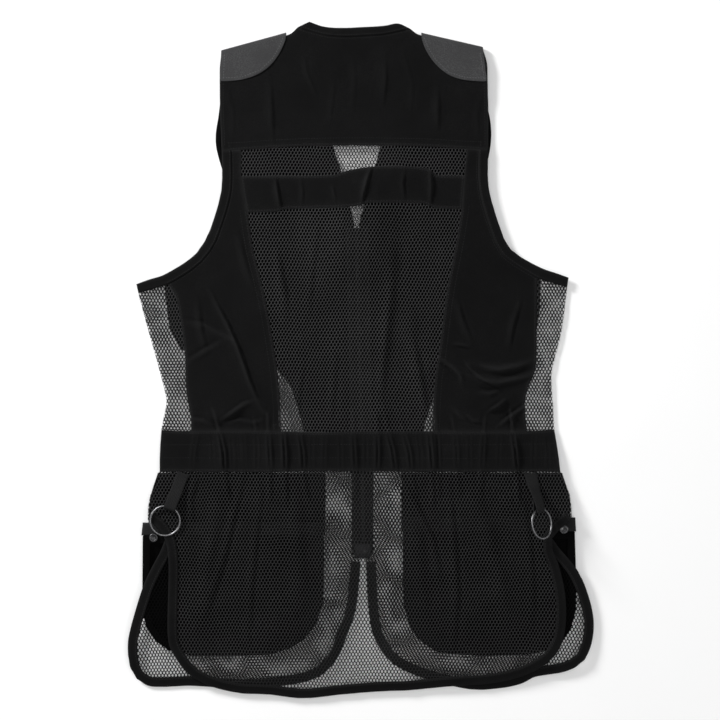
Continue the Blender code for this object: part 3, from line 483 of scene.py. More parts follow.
def handled_metal():
    tree, given, out = new_group("Handled metal", "ShaderNodeTree", {
        "Vector": "Vector", "Plating": "Color", "Worn": "Color"},
        {"Color": "Color", "Roughness": "Float", "Height": "Float"})
    spots = noise(tree, given["Vector"], 260.0, 4.0)
    feed(tree, mixed(tree, ramp(tree, spots, 0.55, 0.72), given["Plating"], given["Worn"]), out["Color"])
    feed(tree, maths(tree, "MULTIPLY_ADD", spots, 0.22, 0.26), out["Roughness"])
    feed(tree, noise(tree, given["Vector"], 2600.0, 3.0), out["Height"])
    return tree


TWILL, YARN, WORN_AND_SHEEN_CLOTH, HANDLED_METAL = twill_weave(), yarn(), worn_and_sheen_cloth(), handled_metal()
print("shared effects:", TWILL.name, YARN.name, WORN_AND_SHEEN_CLOTH.name, HANDLED_METAL.name)

# %% Finishes
def principled(name, make):
    """A material whose shader gets what make(tree, object coordinates) returns."""
    material = bpy.data.materials.new(name)
    material.use_nodes = True
    tree = material.node_tree
    where = add(tree, "ShaderNodeTexCoord").outputs["Object"]
    for label, source in make(tree, where).items():
        feed(tree, source, tree.nodes["Principled BSDF"].inputs[label])
    return material


def effect(tree, group, **inputs):
    return add(tree, "ShaderNodeGroup", inputs, node_tree=group).outputs


def relief(tree, height, strength, distance):
    inputs = {"Strength": strength, "Distance": distance, "Height": height}
    return add(tree, "ShaderNodeBump", inputs).outputs["Normal"]


def cloth_finish(name, dark, light, amount, rough, sheen, shine, strength, weave):
    """A woven or knitted finish: weave holds Ribs for twill or Threads for yarn."""
    def make(tree, where):
        # this attribute holds worn edges, lighter crease ridges and, on the nets, a painted highlight on the
        # yarn's crest
        rub = add(tree, "ShaderNodeAttribute", attribute_name="rub").outputs["Fac"]
        colour = effect(tree, WORN_AND_SHEEN_CLOTH, Vector=where, Rub=rub, Amount=amount,
                        Cloth=(dark, dark, dark * 1.03, 1), Worn=(light, light, light * 1.02, 1))["Color"]
        height = effect(tree, TWILL if "Ribs" in weave else YARN, Vector=where, **weave)["Height"]
        return {"Base Color": colour, "Normal": relief(tree, height, strength, 0.0004),
                "Roughness": maths(tree, "MULTIPLY_ADD", height, -0.12, rough),
                "Sheen Weight": sheen, "Sheen Roughness": 0.45, "Specular IOR Level": shine}
    return principled(name, make)


def metal_finish(name, plating, worn):
    def make(tree, where):
        found = effect(tree, HANDLED_METAL, Vector=where, Plating=(*plating, 1), Worn=(*worn, 1))
        return {"Base Color": found["Color"], "Roughness": found["Roughness"], "Metallic": 1.0,
                "Normal": relief(tree, found["Height"], 0.15, 0.0001)}
    return principled(name, make)


# columns: finish, material, dark, light, share of light at worn edges, crease ridges and painted yarn
# highlights, roughness, sheen, shine, relief, weave
CLOTHS = (
    ("twill", "black_twill", 0.0042, 0.024, 0.6, 0.84, 0.01, 0.05, 0.8, {"Ribs": 430.0}),
    # on the nets the light tone is a painted highlight along the yarn's crest
    ("mesh", "black_net", 0.0024, 0.048, 0.85, 0.56, 0.0, 0.10, 0.5, {"Threads": 1500.0}),
    ("mesh_skirt", "black_skirt_net", 0.0012, 0.042, 0.85, 0.60, 0.0, 0.05, 0.5, {"Threads": 1500.0}),
    # a darker copy of the net for the front skirts under the back net: painted shade
    ("mesh_below", "black_net_below", 0.0010, 0.005, 0.6, 0.70, 0.0, 0.02, 0.5, {"Threads": 1500.0}),
    # a darker copy of the twill for the front and the pockets under the net: painted shade
    ("twill_below", "black_twill_below", 0.0018, 0.012, 0.4, 0.86, 0.0, 0.02, 0.6, {"Ribs": 430.0}),
    ("band", "dark_grey_twill", 0.012, 0.036, 0.5, 0.90, 0.02, 0.08, 0.6, {"Ribs": 360.0}),
    ("binding", "black_tape", 0.0032, 0.018, 0.5, 0.80, 0.0, 0.05, 0.5, {"Threads": 1100.0}),
    ("patch", "grey_brushed_twill", 0.044, 0.160, 1.0, 0.92, 0.04, 0.10, 1.0, {"Ribs": 360.0}),
    ("webbing", "black_webbing", 0.0070, 0.030, 0.5, 0.72, 0.01, 0.10, 0.6, {"Ribs": 250.0}),
    ("thread", "black_thread", 0.0110, 0.040, 0.5, 0.60, 0.0, 0.14, 0.5, {"Threads": 2400.0}),
    ("grey_thread", "grey_thread", 0.110, 0.190, 0.4, 0.65, 0.05, 0.20, 0.5, {"Threads": 2400.0}),
    ("coil", "black_coil", 0.0100, 0.030, 0.3, 0.42, 0.0, 0.20, 0.2, {"Threads": 1800.0}),
)
# columns: finish, material, plating, worn metal
METALS = (("metal", "dark_nickel", (0.16, 0.16, 0.165), (0.34, 0.34, 0.34)),
          ("snap_metal", "dark_nickel_caps", (0.055, 0.055, 0.057), (0.20, 0.20, 0.20)),
          ("black_metal", "black_oxide", (0.018, 0.018, 0.019), (0.060, 0.060, 0.060)))
FINISHES = {key: cloth_finish(*row) for key, *row in CLOTHS}
FINISHES.update({key: metal_finish(*row) for key, *row in METALS})
print("finishes:", ", ".join(sorted(FINISHES)))

# %% [markdown]
# ## A panel of cloth
# A cut panel is a wall with two faces and a turned edge. Its outline is made smooth, rows of points
# follow it just inside the edge, and an even lattice fills the rest. A constrained Delaunay
# triangulation joins them, so no triangle crosses the edge. Near the edge the two faces curve together,
# which leaves the small groove that a real seam has, and stitching pulls the cloth into tiny puckers.

# %% The panel maker
CLOTH, TAPE = 0.0012, 0.0020
SEAM_ALLOWANCE, PUSHED_OUT = 0.003, 0.0003
PUCKER_REACH, PUCKER_SIZE = 0.006, 0.0065
EDGE_RUB, EDGE_RUB_REACH, CREASE_LIGHTENING = 0.9, 0.0016, 230
made, rows_made = {}, {}


def lattice(loop, spacing, margin):
    low, high = loop.min(0), loop.max(0)
    xs = np.arange(low[0], high[0] + spacing, spacing)
    ys = np.arange(low[1], high[1] + spacing, spacing * 0.866)
    x, y = np.meshgrid(xs, ys)
    x[1::2] += spacing / 2
    points = np.stack([x.ravel(), y.ravel()], axis=1)
    points = points[inside(points, loop)]
    return points[from_edge(points, loop) > margin]


def filled(loop, rows, spacing):
    """Points and triangles that fill an outline, with rows of points at given insets."""
    rings = [loop] + [inset(loop, width) for width in rows]
    margin = (rows[-1] if rows else 0) + spacing * 0.55
    points = np.concatenate([*rings, lattice(loop, spacing, margin)])
    found, _, faces, _, _, _ = delaunay_2d_cdt([Vector(p) for p in points], [],
                                               [list(range(len(loop)))], 1, 1e-6, False)
    found = np.array([tuple(p) for p in found])
    kept = inside(np.array([found[list(f)].mean(0) for f in faces]), loop)
    return found, [f for f, k in zip(faces, kept) if k]


def placed(name, data):
    obj = bpy.data.objects.new(name, data)
    bpy.context.scene.collection.objects.link(obj)
    return obj


def show(name, mesh, finish):
    mesh.name = name
    mesh.materials.clear()
    mesh.materials.append(FINISHES[finish])
    mesh.polygons.foreach_set("use_smooth", [True] * len(mesh.polygons))
    return placed(name, mesh)


def keep_mesh(name, verts, faces, finish, rub=None):
    mesh = bpy.data.meshes.new(name)
    mesh.from_pydata([tuple(v) for v in verts], [], [tuple(f) for f in faces])
    if rub is not None:
        mesh.attributes.new("rub", "FLOAT", "POINT").data.foreach_set("value", rub.astype(np.float32))
    bm = bmesh.new()
    bm.from_mesh(mesh)
    bmesh.ops.remove_doubles(bm, verts=bm.verts, dist=1e-6)
    bmesh.ops.delete(bm, geom=[v for v in bm.verts if not v.link_faces], context="VERTS")
    bmesh.ops.recalc_face_normals(bm, faces=bm.faces)
    bm.to_mesh(mesh)
    bm.free()
    return show(name, mesh, finish)


def panel(name, loop, lie, thick, finish, spacing, edge=None, pucker=0.00035, table=()):
    """A closed wall of cloth on its underside height lie(points), with round edges."""
    edge = edge or thick / 2
    loop = inset(smooth_outline(loop, max(spacing, 0.0018)), -PUSHED_OUT)

    def face(rows, gap, side):
        flat, faces = filled(loop, rows, gap)
        away = from_edge(flat, loop)
        away[away < 2e-6] = 0
        round_off = np.sqrt(np.clip(1 - (1 - np.minimum(away, edge) / edge) ** 2, 0, 1))
        base = lie(flat) + pucker * np.exp(-away / PUCKER_REACH) * uneven(flat, PUCKER_SIZE, 7)
        z = base + thick * (0.5 + side * 0.5 * round_off)
        # lighter tone: wear along the edges, and lighter along the crease ridges
        rub = np.exp(-away / EDGE_RUB_REACH) * EDGE_RUB + crease_height(flat, table) * CREASE_LIGHTENING
        return np.column_stack([flat, z]), faces, np.clip(rub, 0, 1)

    top, top_faces, top_lightening = face((edge * 0.3, edge), spacing, 1)
    low, low_faces, low_lightening = face((edge,), max(spacing * 3, 0.004), -1)
    shift = len(top)
    faces = list(top_faces) + [tuple(k + shift for k in reversed(f)) for f in low_faces]
    return keep_mesh(name, np.concatenate([top, low]), faces, finish, np.concatenate([top_lightening, low_lightening]))


OVER = {"back_yoke": "neck_binding", "back_skirt_mesh": "back_skirt_binding waistband",
        "back_mesh_main": "waistband back_cross_band side_back_left side_back_right",
        "back_mesh_upper": "back_yoke back_cross_band side_back_left side_back_right"}
for side in SIDES:
    OVER["side_back_" + side] = "armhole_binding_" + side
    OVER["front_skirt_" + side] = "front_binding_" + side


def tucked(name):
    """A piece's outline, with a seam allowance under the pieces that are sewn over it."""
    if name not in OVER:
        return outlines[name]
    loop = smooth_outline(outlines[name], 0.003)
    moved, near = inset(loop, -SEAM_ALLOWANCE), np.zeros(len(loop), bool)
    for other in OVER[name].split():
        over = smooth_outline(outlines[other], 0.003)
        near |= (from_edge(loop, over) < 0.0014) & inside(moved, over)
    return np.where(near[:, None], moved, loop)


for name in ("back_yoke", "back_cross_band", "side_back_left", "side_back_right", "waistband"):
    made[name] = panel(name + "_cloth", tucked(name), back_height, CLOTH, "twill", 0.0015,
                       table=BACK_TABLE)
    print(name, len(made[name].data.polygons), "faces")

# %% [markdown]
# ## Bound edges
# The neck, the armholes and both skirts end in a tape that is folded over the raw edge. It is a little
# thicker than the cloth and round all over, so the same panel maker is used with a wider rounding.

# %% Bindings and the plain front
for name in ("neck_binding", "armhole_binding_left", "armhole_binding_right", "back_skirt_binding",
             "front_binding_left", "front_binding_right"):
    lie, thick = (front_height, CLOTH) if name.startswith("front") else (back_height, TAPE)
    made[name] = panel(name + "_tape", outlines[name], lie, thick, "binding", 0.0017, thick * 0.9, 0.0004)
# the front lies under the back's net, so it takes the darker twill: painted shade
for name in ("front_left", "front_right"):
    made[name] = panel(name + "_cloth", outlines[name], front_height, CLOTH, "twill_below", 0.0040)
print("bindings:", sum(len(made[n].data.polygons) for n in made if "binding" in n), "faces")

# %% [markdown]
# ## Pockets
# The bellows pockets are on the front, under the skirt's net. From the back only their dark shapes
# show, and pocket and flap take a darker copy of the twill as painted shade. A pocket keeps the
# frame's tray shape with rounded edges. Its grey band and its flap are cut panels like the rest.

# %% Pockets, bands and flaps
BAND_GROWN = 0.0013
FLAP_CAUGHT = 0.0055


def mesh_of(bm, name):
    mesh = bpy.data.meshes.new(name)
    bm.to_mesh(mesh)
    bm.free()
    return mesh


def rounded(name, label, finish, width, segments=3):
    """A copy of a frame piece with its sharp edges rounded."""
    bm = merged(name)
    bmesh.ops.dissolve_limit(bm, angle_limit=math.radians(1), verts=bm.verts, edges=bm.edges)
    sharp = [e for e in bm.edges if e.calc_face_angle(0) > math.radians(30)]
    bmesh.ops.bevel(bm, geom=sharp, offset=width, segments=segments, affect="EDGES", profile=0.5,
                    clamp_overlap=True)
    bmesh.ops.triangulate(bm, faces=bm.faces)
    return show(label, mesh_of(bm, label), finish)


# pocket and flap take the darker twill, painted shade under the net
for side in SIDES:
    made["pocket_" + side] = rounded("pocket_" + side, f"pocket_{side}_cloth", "twill_below", 0.0006, 2)
    for piece, finish in (("band", "band"), ("flap", "twill_below")):
        name = f"pocket_{piece}_{side}"
        top = max(v.co.z for v in cad[name].data.vertices)
        loop = inset(outlines[name], -BAND_GROWN)
        if piece == "flap":
            # the flap's upper edge is caught in the waist seam
            loop[:, 1] += np.where(loop[:, 1] > loop[:, 1].max() - 0.006, FLAP_CAUGHT, 0)
        made[name] = panel(name + "_cloth", loop, floor_height, top, finish, 0.0030,
                           min(top / 2, 0.0014), 0.0002)
print("pocket pieces:", sum(1 for n in made if n.startswith("pocket")))

# %% [markdown]
# ## Open net
# The mesh is a warp-knit net: upright ribs that part and join again, which leaves long six-sided holes.
# One hole with the yarn round it is a ring of six faces, high at its outer edge. Rings on a lattice
# share those edges, so each pair of ring sides makes one round yarn. Geometry Nodes place the rings on
# a flat pattern of the piece, drop those outside it, join them and then lift them onto the cloth.

# %% Small node helpers for geometry
class Steps:
    """Adds nodes to a geometry tree with short calls."""

    def __init__(self, tree):
        self.tree = tree

    def add(self, kind, inputs=None, **settings):
        return add(self.tree, kind, inputs, **settings).outputs

    def num(self, operation, *sources):
        return maths(self.tree, operation, *sources)

    def times(self, a, b):
        return self.num("MULTIPLY", a, b)

    def vec(self, operation, *sources):
        return maths(self.tree, operation, *sources, kind="ShaderNodeVectorMath")

    def scale(self, vector, amount):
        return self.add("ShaderNodeVectorMath", {0: vector, "Scale": amount}, operation="SCALE")[0]

    def xyz(self, *values):
        return self.add("ShaderNodeCombineXYZ", dict(enumerate(values)))[0]

    def apart(self, vector):
        return self.add("ShaderNodeSeparateXYZ", {0: vector})

    def do(self, kind, geometry, settings=None, **values):
        inputs = {label.replace("_", " "): value for label, value in values.items()}
        return self.add("GeometryNode" + kind, {0: geometry, **inputs}, **(settings or {}))

    def position(self):
        return self.add("GeometryNodeInputPosition")[0]

    def named(self, name, data_type):
        return self.add("GeometryNodeInputNamedAttribute", {"Name": name}, data_type=data_type)["Attribute"]

    def store(self, geometry, name, value, **values):
        return self.do("StoreNamedAttribute", geometry, {"data_type": "FLOAT", "domain": "POINT"},
                       Name=name, Value=value, **values)[0]


print("geometry helpers ready")

# %% The net's node tree
def net_cell(s, given):
    """One hole's ring of six faces; crown is 1 along its outer edge."""
    six = s.add("GeometryNodeMeshCircle", {"Vertices": 6}, fill_type="NGON")["Mesh"]
    corner = s.apart(s.position())
    stood = s.do("SetPosition", six, Position=s.xyz(
        s.times(corner[1], s.times(given["Pitch"], -0.57735)),
        s.times(corner[0], s.num("DIVIDE", given["Row"], 1.5)), 0.0))[0]
    ring = s.do("ExtrudeMesh", s.store(stood, "crown", 1.0), {"mode": "FACES"}, Offset_Scale=0.0)
    hole = s.do("SetPosition", ring["Mesh"], Selection=ring["Top"], Position=s.vec(
        "MULTIPLY", s.position(), s.xyz(given["Hole Width"], given["Hole Height"], 1.0)))[0]
    low = s.store(hole, "crown", 0.0, Selection=ring["Top"])
    return s.do("DeleteGeometry", low, {"domain": "FACE", "mode": "ALL"}, Selection=ring["Top"])[0]


def net_lattice(s, given):
    """Points over the pattern's box, every second row moved by half a pitch, near the pattern only."""
    pitch, row = given["Pitch"], given["Row"]
    box = s.do("BoundBox", given["Geometry"])
    size = s.apart(s.vec("SUBTRACT", box["Max"], box["Min"]))
    middle = s.scale(s.vec("ADD", box["Max"], box["Min"]), 0.5)
    span = s.times(s.num("ADD", size[0], size[1]), 0.16)
    wide, tall = (s.num("CEIL", s.num("DIVIDE", s.num("ADD", size[k], span), step))
                  for k, step in enumerate((pitch, row)))
    per_row = s.num("ADD", tall, 1.0)
    grid = s.do("MeshGrid", s.times(wide, pitch), Size_Y=s.times(tall, row),
                Vertices_X=s.num("ADD", wide, 1.0), Vertices_Y=per_row)["Mesh"]
    odd = s.num("MODULO", s.num("MODULO", s.add("GeometryNodeInputIndex")[0], per_row), 2.0)
    shift = s.xyz(s.times(odd, s.times(pitch, 0.5)), 0.0, 0.0)
    staggered = s.do("SetPosition", grid, Offset=shift)[0]
    turned = s.add("ShaderNodeVectorRotate", {"Vector": s.position(), "Angle": given["Turn"]},
                   rotation_type="Z_AXIS")[0]
    centred = s.do("SetPosition", staggered, Position=s.vec("ADD", turned, middle))[0]
    near = s.do("Proximity", given["Geometry"], {"target_element": "FACES"})["Distance"]
    off = s.num("GREATER_THAN", near, s.times(pitch, 0.5))
    return s.do("DeleteGeometry", centred, {"domain": "POINT", "mode": "ALL"}, Selection=off)[0]


def net_tree():
    tree, given, out = new_group("Open net", "GeometryNodeTree", {
        "Geometry": "Geometry", "Pitch": 0.0034, "Row": 0.0031, "Hole Width": 0.62, "Hole Height": 0.80,
        "Yarn Height": 0.0005, "Turn": 0.0, "Wander": 0.0022, "Trim": 0.0005, "Seed": 1.0,
        "Finish": "Material"}, {"Geometry": "Geometry"})
    s = Steps(tree)
    rings = s.do("InstanceOnPoints", net_lattice(s, given), Instance=net_cell(s, given),
                 Rotation=s.xyz(0.0, 0.0, given["Turn"]))[0]
    joined = s.do("MergeByDistance", s.do("RealizeInstances", rings)[0], Distance=0.00008)[0]

    # the knit wanders a little, and its border is pressed together at the seam
    place = s.position()
    inputs = {"Vector": place, "W": given["Seed"], "Scale": 24.0, "Detail": 1.0}
    drift = s.add("ShaderNodeTexNoise", inputs, noise_dimensions="4D")["Color"]
    way = s.vec("MULTIPLY", s.vec("SUBTRACT", drift, (0.5, 0.5, 0.5)), (2.0, 2.0, 0.0))
    wandered = s.do("SetPosition", joined, Offset=s.scale(way, given["Wander"]))[0]
    border = s.do("Proximity", given["Geometry"], {"target_element": "FACES"})
    far, edge, trim = border["Distance"], border["Position"], given["Trim"]
    fade = s.num("EXPONENT", s.num("DIVIDE", s.times(far, -1.0), trim))
    squeeze = s.num("DIVIDE", s.times(s.num("SUBTRACT", 1.0, fade), trim), s.num("MAXIMUM", far, 1e-7))
    outwards = s.scale(s.vec("SUBTRACT", place, edge), squeeze)
    trimmed = s.do("SetPosition", wandered, Position=s.vec("ADD", edge, outwards))[0]

    rise, facing = (s.do("SampleNearestSurface", given["Geometry"], {"data_type": "FLOAT_VECTOR"},
                         Value=s.named(name, "FLOAT_VECTOR"))["Value"] for name in ("rise", "out"))
    high = s.times(s.named("crown", "FLOAT"), given["Yarn Height"])
    lifted = s.do("SetPosition", trimmed, Offset=s.vec("ADD", rise, s.scale(facing, high)))[0]
    feed(tree, s.do("SetMaterial", lifted, Material=given["Finish"])[0], out["Geometry"])
    return tree


NET = net_tree()
print("net tree:", len(NET.nodes), "nodes")

# %% Making a net piece
def evaluated(holder):
    """What a holder's modifiers make of it, as a plain mesh. The holder itself goes."""
    bpy.context.view_layer.update()
    mesh = bpy.data.meshes.new_from_object(holder.evaluated_get(bpy.context.evaluated_depsgraph_get()))
    bpy.data.objects.remove(holder)
    return mesh


def grown(name, pattern, tree, finish, **values):
    """Runs a node tree on a pattern mesh and keeps the result as a plain piece."""
    holder = placed(name + "_pattern", pattern)
    modifier = holder.modifiers.new("grow", "NODES")
    modifier.node_group = tree
    values["Finish"] = FINISHES[finish]
    for item in tree.interface.items_tree:
        if item.in_out == "INPUT" and item.name in values:
            modifier[item.identifier] = values[item.name]
    return show(name, evaluated(holder), finish)


def pattern_mesh(name, parts):
    """Flat patterns that carry where the cloth lies. columns: outline, height, facing, side step"""
    verts, faces, rise, out = [], [], [], []
    for loop, lie, facing, aside in parts:
        flat, tris = filled(smooth_outline(loop, 0.005), (), 0.0035)
        faces += [tuple(k + len(verts) for k in f) for f in tris]
        rise += [(-aside, 0.0, z) for z in lie(flat)]
        out += [(0.0, 0.0, facing)] * len(flat)
        verts += [(x + aside, y, 0.0) for x, y in flat]
    mesh = bpy.data.meshes.new(name)
    mesh.from_pydata(verts, [], faces)
    for label, values in (("rise", rise), ("out", out)):
        mesh.attributes.new(label, "FLOAT_VECTOR", "POINT").data.foreach_set("vector", np.ravel(values))
    return mesh


def net(name, parts, turn, seed, finish="mesh"):
    obj = grown(name, pattern_mesh(name + "_flat", parts), NET, finish, Turn=math.radians(turn), Seed=seed)
    # the crest of the yarn takes the lighter tone: a painted highlight
    obj.data.attributes["crown"].name = "rub"
    print(name, len(obj.data.polygons), "faces")
    return obj


HALF_CLOTH = 0.0005
# columns: piece, height of its layer, how far its net is turned in degrees, finish
NETS = (("back_mesh_upper", back_height, 0.0, "mesh"), ("back_mesh_main", back_height, 0.0, "mesh"),
        ("back_skirt_mesh", back_height, 0.0, "mesh_skirt"),
        # the front skirts lie under the back net and take the darker net as painted shade
        ("front_skirt_left", front_height, 3.0, "mesh_below"),
        ("front_skirt_right", front_height, -3.5, "mesh_below"))
for seed, (name, layer, turn, finish) in enumerate(NETS, 1):
    lie = lambda points, f=layer: f(points) + HALF_CLOTH
    made[name] = net(name + "_net", [(tucked(name), lie, 1.0, 0.0)], turn, float(seed), finish)

# %% [markdown]
# ## The folded side panels
# Each side panel is one piece of net that runs from the back round to the front, so where the vest
# lies flat it is folded double. Its two flaps are two patterns side by side, one facing up and one
# facing down, and both curve towards each other at the fold.

# %% Side panels
FOLD_LINES = {"left": ((138, 293), (145, 320), (155, 355), (163, 385), (166.5, 400), (164, 415),
                       (161, 430.5)),
              "right": ((567.5, 287), (566, 300), (562, 330), (556, 355), (551.5, 375), (553, 400),
                        (554.8, 430))}
SIDE_STEP = 0.3978


def flap(side, height, middle, lumps):
    def lie(points):
        close = np.clip(1 - from_line(points, at(FOLD_LINES[side])) / 0.0022, 0, 1)
        bend = 1 - np.sqrt(np.clip(1 - close ** 2, 0, 1))
        return height + (middle - height) * bend + lumps * uneven(points, 0.02, 11) * (1 - close)
    return lie


for seed, side in enumerate(SIDES, 6):
    name = "side_mesh_" + side
    upper = (outlines["side_flap_" + side], flap(side, 0.0022, 0.0014, 0.0008), 1.0, 0.0)
    under = (outline(name, high=0.0008), flap(side, 0.0006, 0.0013, 0.0003), -1.0, SIDE_STEP)
    made[name] = net(name + "_net", [upper, under], 0.0, float(seed))

# %% [markdown]
# ## Shoulder patches
# The grey patches wrap over the shoulder seam, as deep in front as behind. Their frame piece already
# has that folded shape in flat facets. Its triangles are joined back into four-sided faces, and a
# subdivision surface with creased borders rounds the fold and keeps the outline. The webbing straps
# that carry the rings are rounded in the same way.

# %% Patches and straps
def softened(name, label, finish, crease):
    bm = merged(name)
    bmesh.ops.join_triangles(bm, faces=bm.faces, angle_face_threshold=0.6, angle_shape_threshold=2.4)
    layer = bm.edges.layers.float.new("crease_edge")
    for edge in bm.edges:
        edge[layer] = crease if edge.calc_face_angle(0) > math.radians(55) else 0.0
    holder = placed(label + "_cage", mesh_of(bm, label))
    surface = holder.modifiers.new("soft", "SUBSURF")
    surface.levels = surface.render_levels = 3
    return show(label, evaluated(holder), finish)


for side in SIDES:
    for name, end, finish, crease in (("shoulder_patch_" + side, "_cloth", "patch", 0.85),
                                      ("ring_strap_" + side, "_webbing", "webbing", 0.9)):
        made[name] = softened(name, name + end, finish, crease)
        print(name, len(made[name].data.polygons), "faces")

# %% [markdown]
# ## Rings and snaps
# Two gunmetal rings hang on the straps, for a towel or a clip. Their place and tilt are measured from
# the frame's rings, whose wire is too coarse, and a fine ring of the same size is turned there. Snap
# caps are pressed metal: a flat disc with a raised rim and a dimple, turned round an upright axis.

# %% Hardware
def spun(name, centre, axis, radius, profile, finish, steps):
    """Turns a closed profile of (out, along) points round an axis at a given radius."""
    normal = Vector(axis).normalized()
    u = normal.orthogonal().normalized()
    v = normal.cross(u)
    verts, faces, n = [], [], len(profile)
    for i in range(steps):
        a = 2 * math.pi * i / steps
        out = math.cos(a) * u + math.sin(a) * v
        verts += [Vector(centre) + out * (radius + r) + normal * h for r, h in profile]
        here, there = i * n, (i + 1) % steps * n
        faces += [(here + k, here + (k + 1) % n, there + (k + 1) % n, there + k) for k in range(n)]
    return keep_mesh(name, verts, faces, finish)


def cad_points(name):
    bm = merged(name)
    points = np.array([v.co[:] for v in bm.verts])
    bm.free()
    return points


for side in SIDES:
    points = cad_points("ring_" + side)
    centre = points.mean(0)
    axis = np.linalg.svd(points - centre)[2][2]
    flat = points - centre - np.outer((points - centre) @ axis, axis)
    reach = np.linalg.norm(flat, axis=1)
    radius, wire = (reach.max() + reach.min()) / 2, (reach.max() - reach.min()) / 2
    profile = [(wire * math.cos(a), wire * math.sin(a)) for a in np.arange(14) * 2 * math.pi / 14]
    made["ring_" + side] = spun(f"ring_{side}_wire", centre, axis, radius, profile, "metal", 120)
    print("ring", side, round(radius * 2000, 1), "mm across, wire", round(wire * 2000, 1), "mm")

    points = cad_points("snap_" + side)
    low, high = points.min(0), points.max(0)
    r, h = (high[0] - low[0]) / 2, high[2] - low[2]
    cap = [(1e-6, 0), (r, 0), (r, 0.4 * h), (0.94 * r, 0.8 * h), (0.8 * r, h), (0.64 * r, 0.86 * h),
           (0.52 * r, 0.62 * h), (0.3 * r, 0.6 * h), (0.2 * r, 0.42 * h), (1e-6, 0.38 * h)]
    middle = ((low[0] + high[0]) / 2, (low[1] + high[1]) / 2, low[2])
    made["snap_" + side] = spun(f"snap_{side}_cap", middle, (0, 0, 1), 0.0, cap, "snap_metal", 48)

# %% [markdown]
# ## The zip
# The zip closes the front, so from the back it only shows as a paler line through the net. Its tape is
# a woven panel, its slider, pull and end box are cast metal with rounded edges, and its coil is one row
# of small bars. Stitches and coil are both rows of small beads on a line, so they share a node tree.

# %% Rows of beads
SUNK = 0.0001
RUN_STEP = 0.003


def row_tree():
    tree, given, out = new_group("Row of beads", "GeometryNodeTree", {
        "Geometry": "Geometry", "Spacing": 0.0028, "Length": 0.0022, "Width": 0.0006,
        "Thickness": 0.0005, "Slant": 0.12, "Seed": "Int", "Finish": "Material"},
        {"Geometry": "Geometry"})
    s = Steps(tree)
    line = s.do("MeshToCurve", given["Geometry"])[0]
    points = s.do("CurveToPoints", line, {"mode": "LENGTH"}, Length=given["Spacing"])
    bead = s.add("GeometryNodeMeshUVSphere", {"Segments": 6, "Rings": 4, "Radius": 0.5})["Mesh"]
    shaped = s.do("Transform", bead, Scale=s.xyz(given["Length"], given["Width"], given["Thickness"]))[0]
    inputs = {"Min": (-1, -1, 0), "Max": (1, 1, 0), "Seed": given["Seed"]}
    stray = s.add("FunctionNodeRandomValue", inputs, data_type="FLOAT_VECTOR")["Value"]
    way = s.vec("ADD", points["Tangent"], s.scale(stray, given["Slant"]))
    turn = s.add("FunctionNodeAlignRotationToVector", {"Vector": way}, axis="X", pivot_axis="Z")[0]
    beads = s.do("InstanceOnPoints", points["Points"], Instance=shaped, Rotation=turn)[0]
    real = s.do("RealizeInstances", beads)[0]
    feed(tree, s.do("SetMaterial", real, Material=given["Finish"])[0], out["Geometry"])
    return tree


ROW = row_tree()


def row_of(name, piece, runs, finish, side=1, **values):
    """Beads along runs of plan points, laid on the top (side 1) or underside (side -1) of a piece."""
    mesh = made[piece].data
    tree = BVHTree.FromPolygons([v.co for v in mesh.vertices], [p.vertices for p in mesh.polygons])
    verts, edges = [], []
    for run in runs:
        going = False
        for x, y in run:
            hit = tree.ray_cast(Vector((x, y, side * 0.1)), Vector((0, 0, -side)), 0.2)[0]
            if hit is not None:
                verts.append((x, y, hit.z - side * SUNK))
                if going:
                    edges.append((len(verts) - 2, len(verts) - 1))
            going = hit is not None
    pattern = bpy.data.meshes.new(name + "_line")
    pattern.from_pydata(verts, edges, [])
    rows_made[name] = (grown(name, pattern, ROW, finish, **values), piece)


def along(table):
    """A run of plan points along a table of pixels."""
    points = at(table)
    out = [points[0]]
    for start, end in zip(points, points[1:]):
        steps = max(1, round(math.hypot(*(end - start)) / RUN_STEP))
        out += [start + (end - start) * (i + 1) / steps for i in range(steps)]
    return out


def seam_runs(piece, beside, offsets):
    """Runs inside a piece's outline, only where that outline lies along one of the pieces beside it."""
    loop = smooth_outline(outlines[piece], 0.003)
    others = [smooth_outline(outlines[n], 0.004) for n in beside.split()]
    runs = []
    for offset in offsets:
        row = inset(loop, offset)
        near = np.any([from_edge(row, other) < offset + 0.0009 for other in others], axis=0)
        if near.all():
            runs.append([*row, row[0]])
            continue
        start = int(np.argmin(near))
        row, near = np.roll(row, -start, axis=0), np.roll(near, -start)
        runs += np.split(row, np.flatnonzero(near[1:] != near[:-1]) + 1)[1::2]
    return [run for run in runs if len(run) > 2]


tape = outlines["zip_tape"].copy()
tape[:, 1] -= np.where(tape[:, 1] < tape[:, 1].min() + 0.004, 0.0125, 0)  # its end goes under the box
made["zip_tape"] = panel("zip_tape_cloth", tape, lambda p: front_height(p) + 0.0015, CLOTH, "binding",
                         0.0030)
row_of("zip_coil", "zip_tape", [along(((357, 230), (359.3, 340), (362.2, 432), (363.3, 542)))], "coil",
       Spacing=0.0015, Length=0.0010, Width=0.0052, Thickness=0.0010, Slant=0.0)
for name, end, width in (("zip_end", "_box", 0.0007), ("zip_slider", "_body", 0.0006),
                         ("zip_pull", "_tab", 0.0004)):
    made[name] = rounded(name, name + end, "black_metal", width)
print("zip coil:", len(rows_made["zip_coil"][0].data.polygons), "faces")

# %% [markdown]
# ## Stitching
# Seams are felled and topstitched: two rows on the yoke, the side panels and the waistband, one row on
# each binding. A row follows the outline of its piece at an even distance, only where the next piece
# lies beside it. The front faces down, so its rows are on the underside.

# %% Stitch rows
MM = 0.001
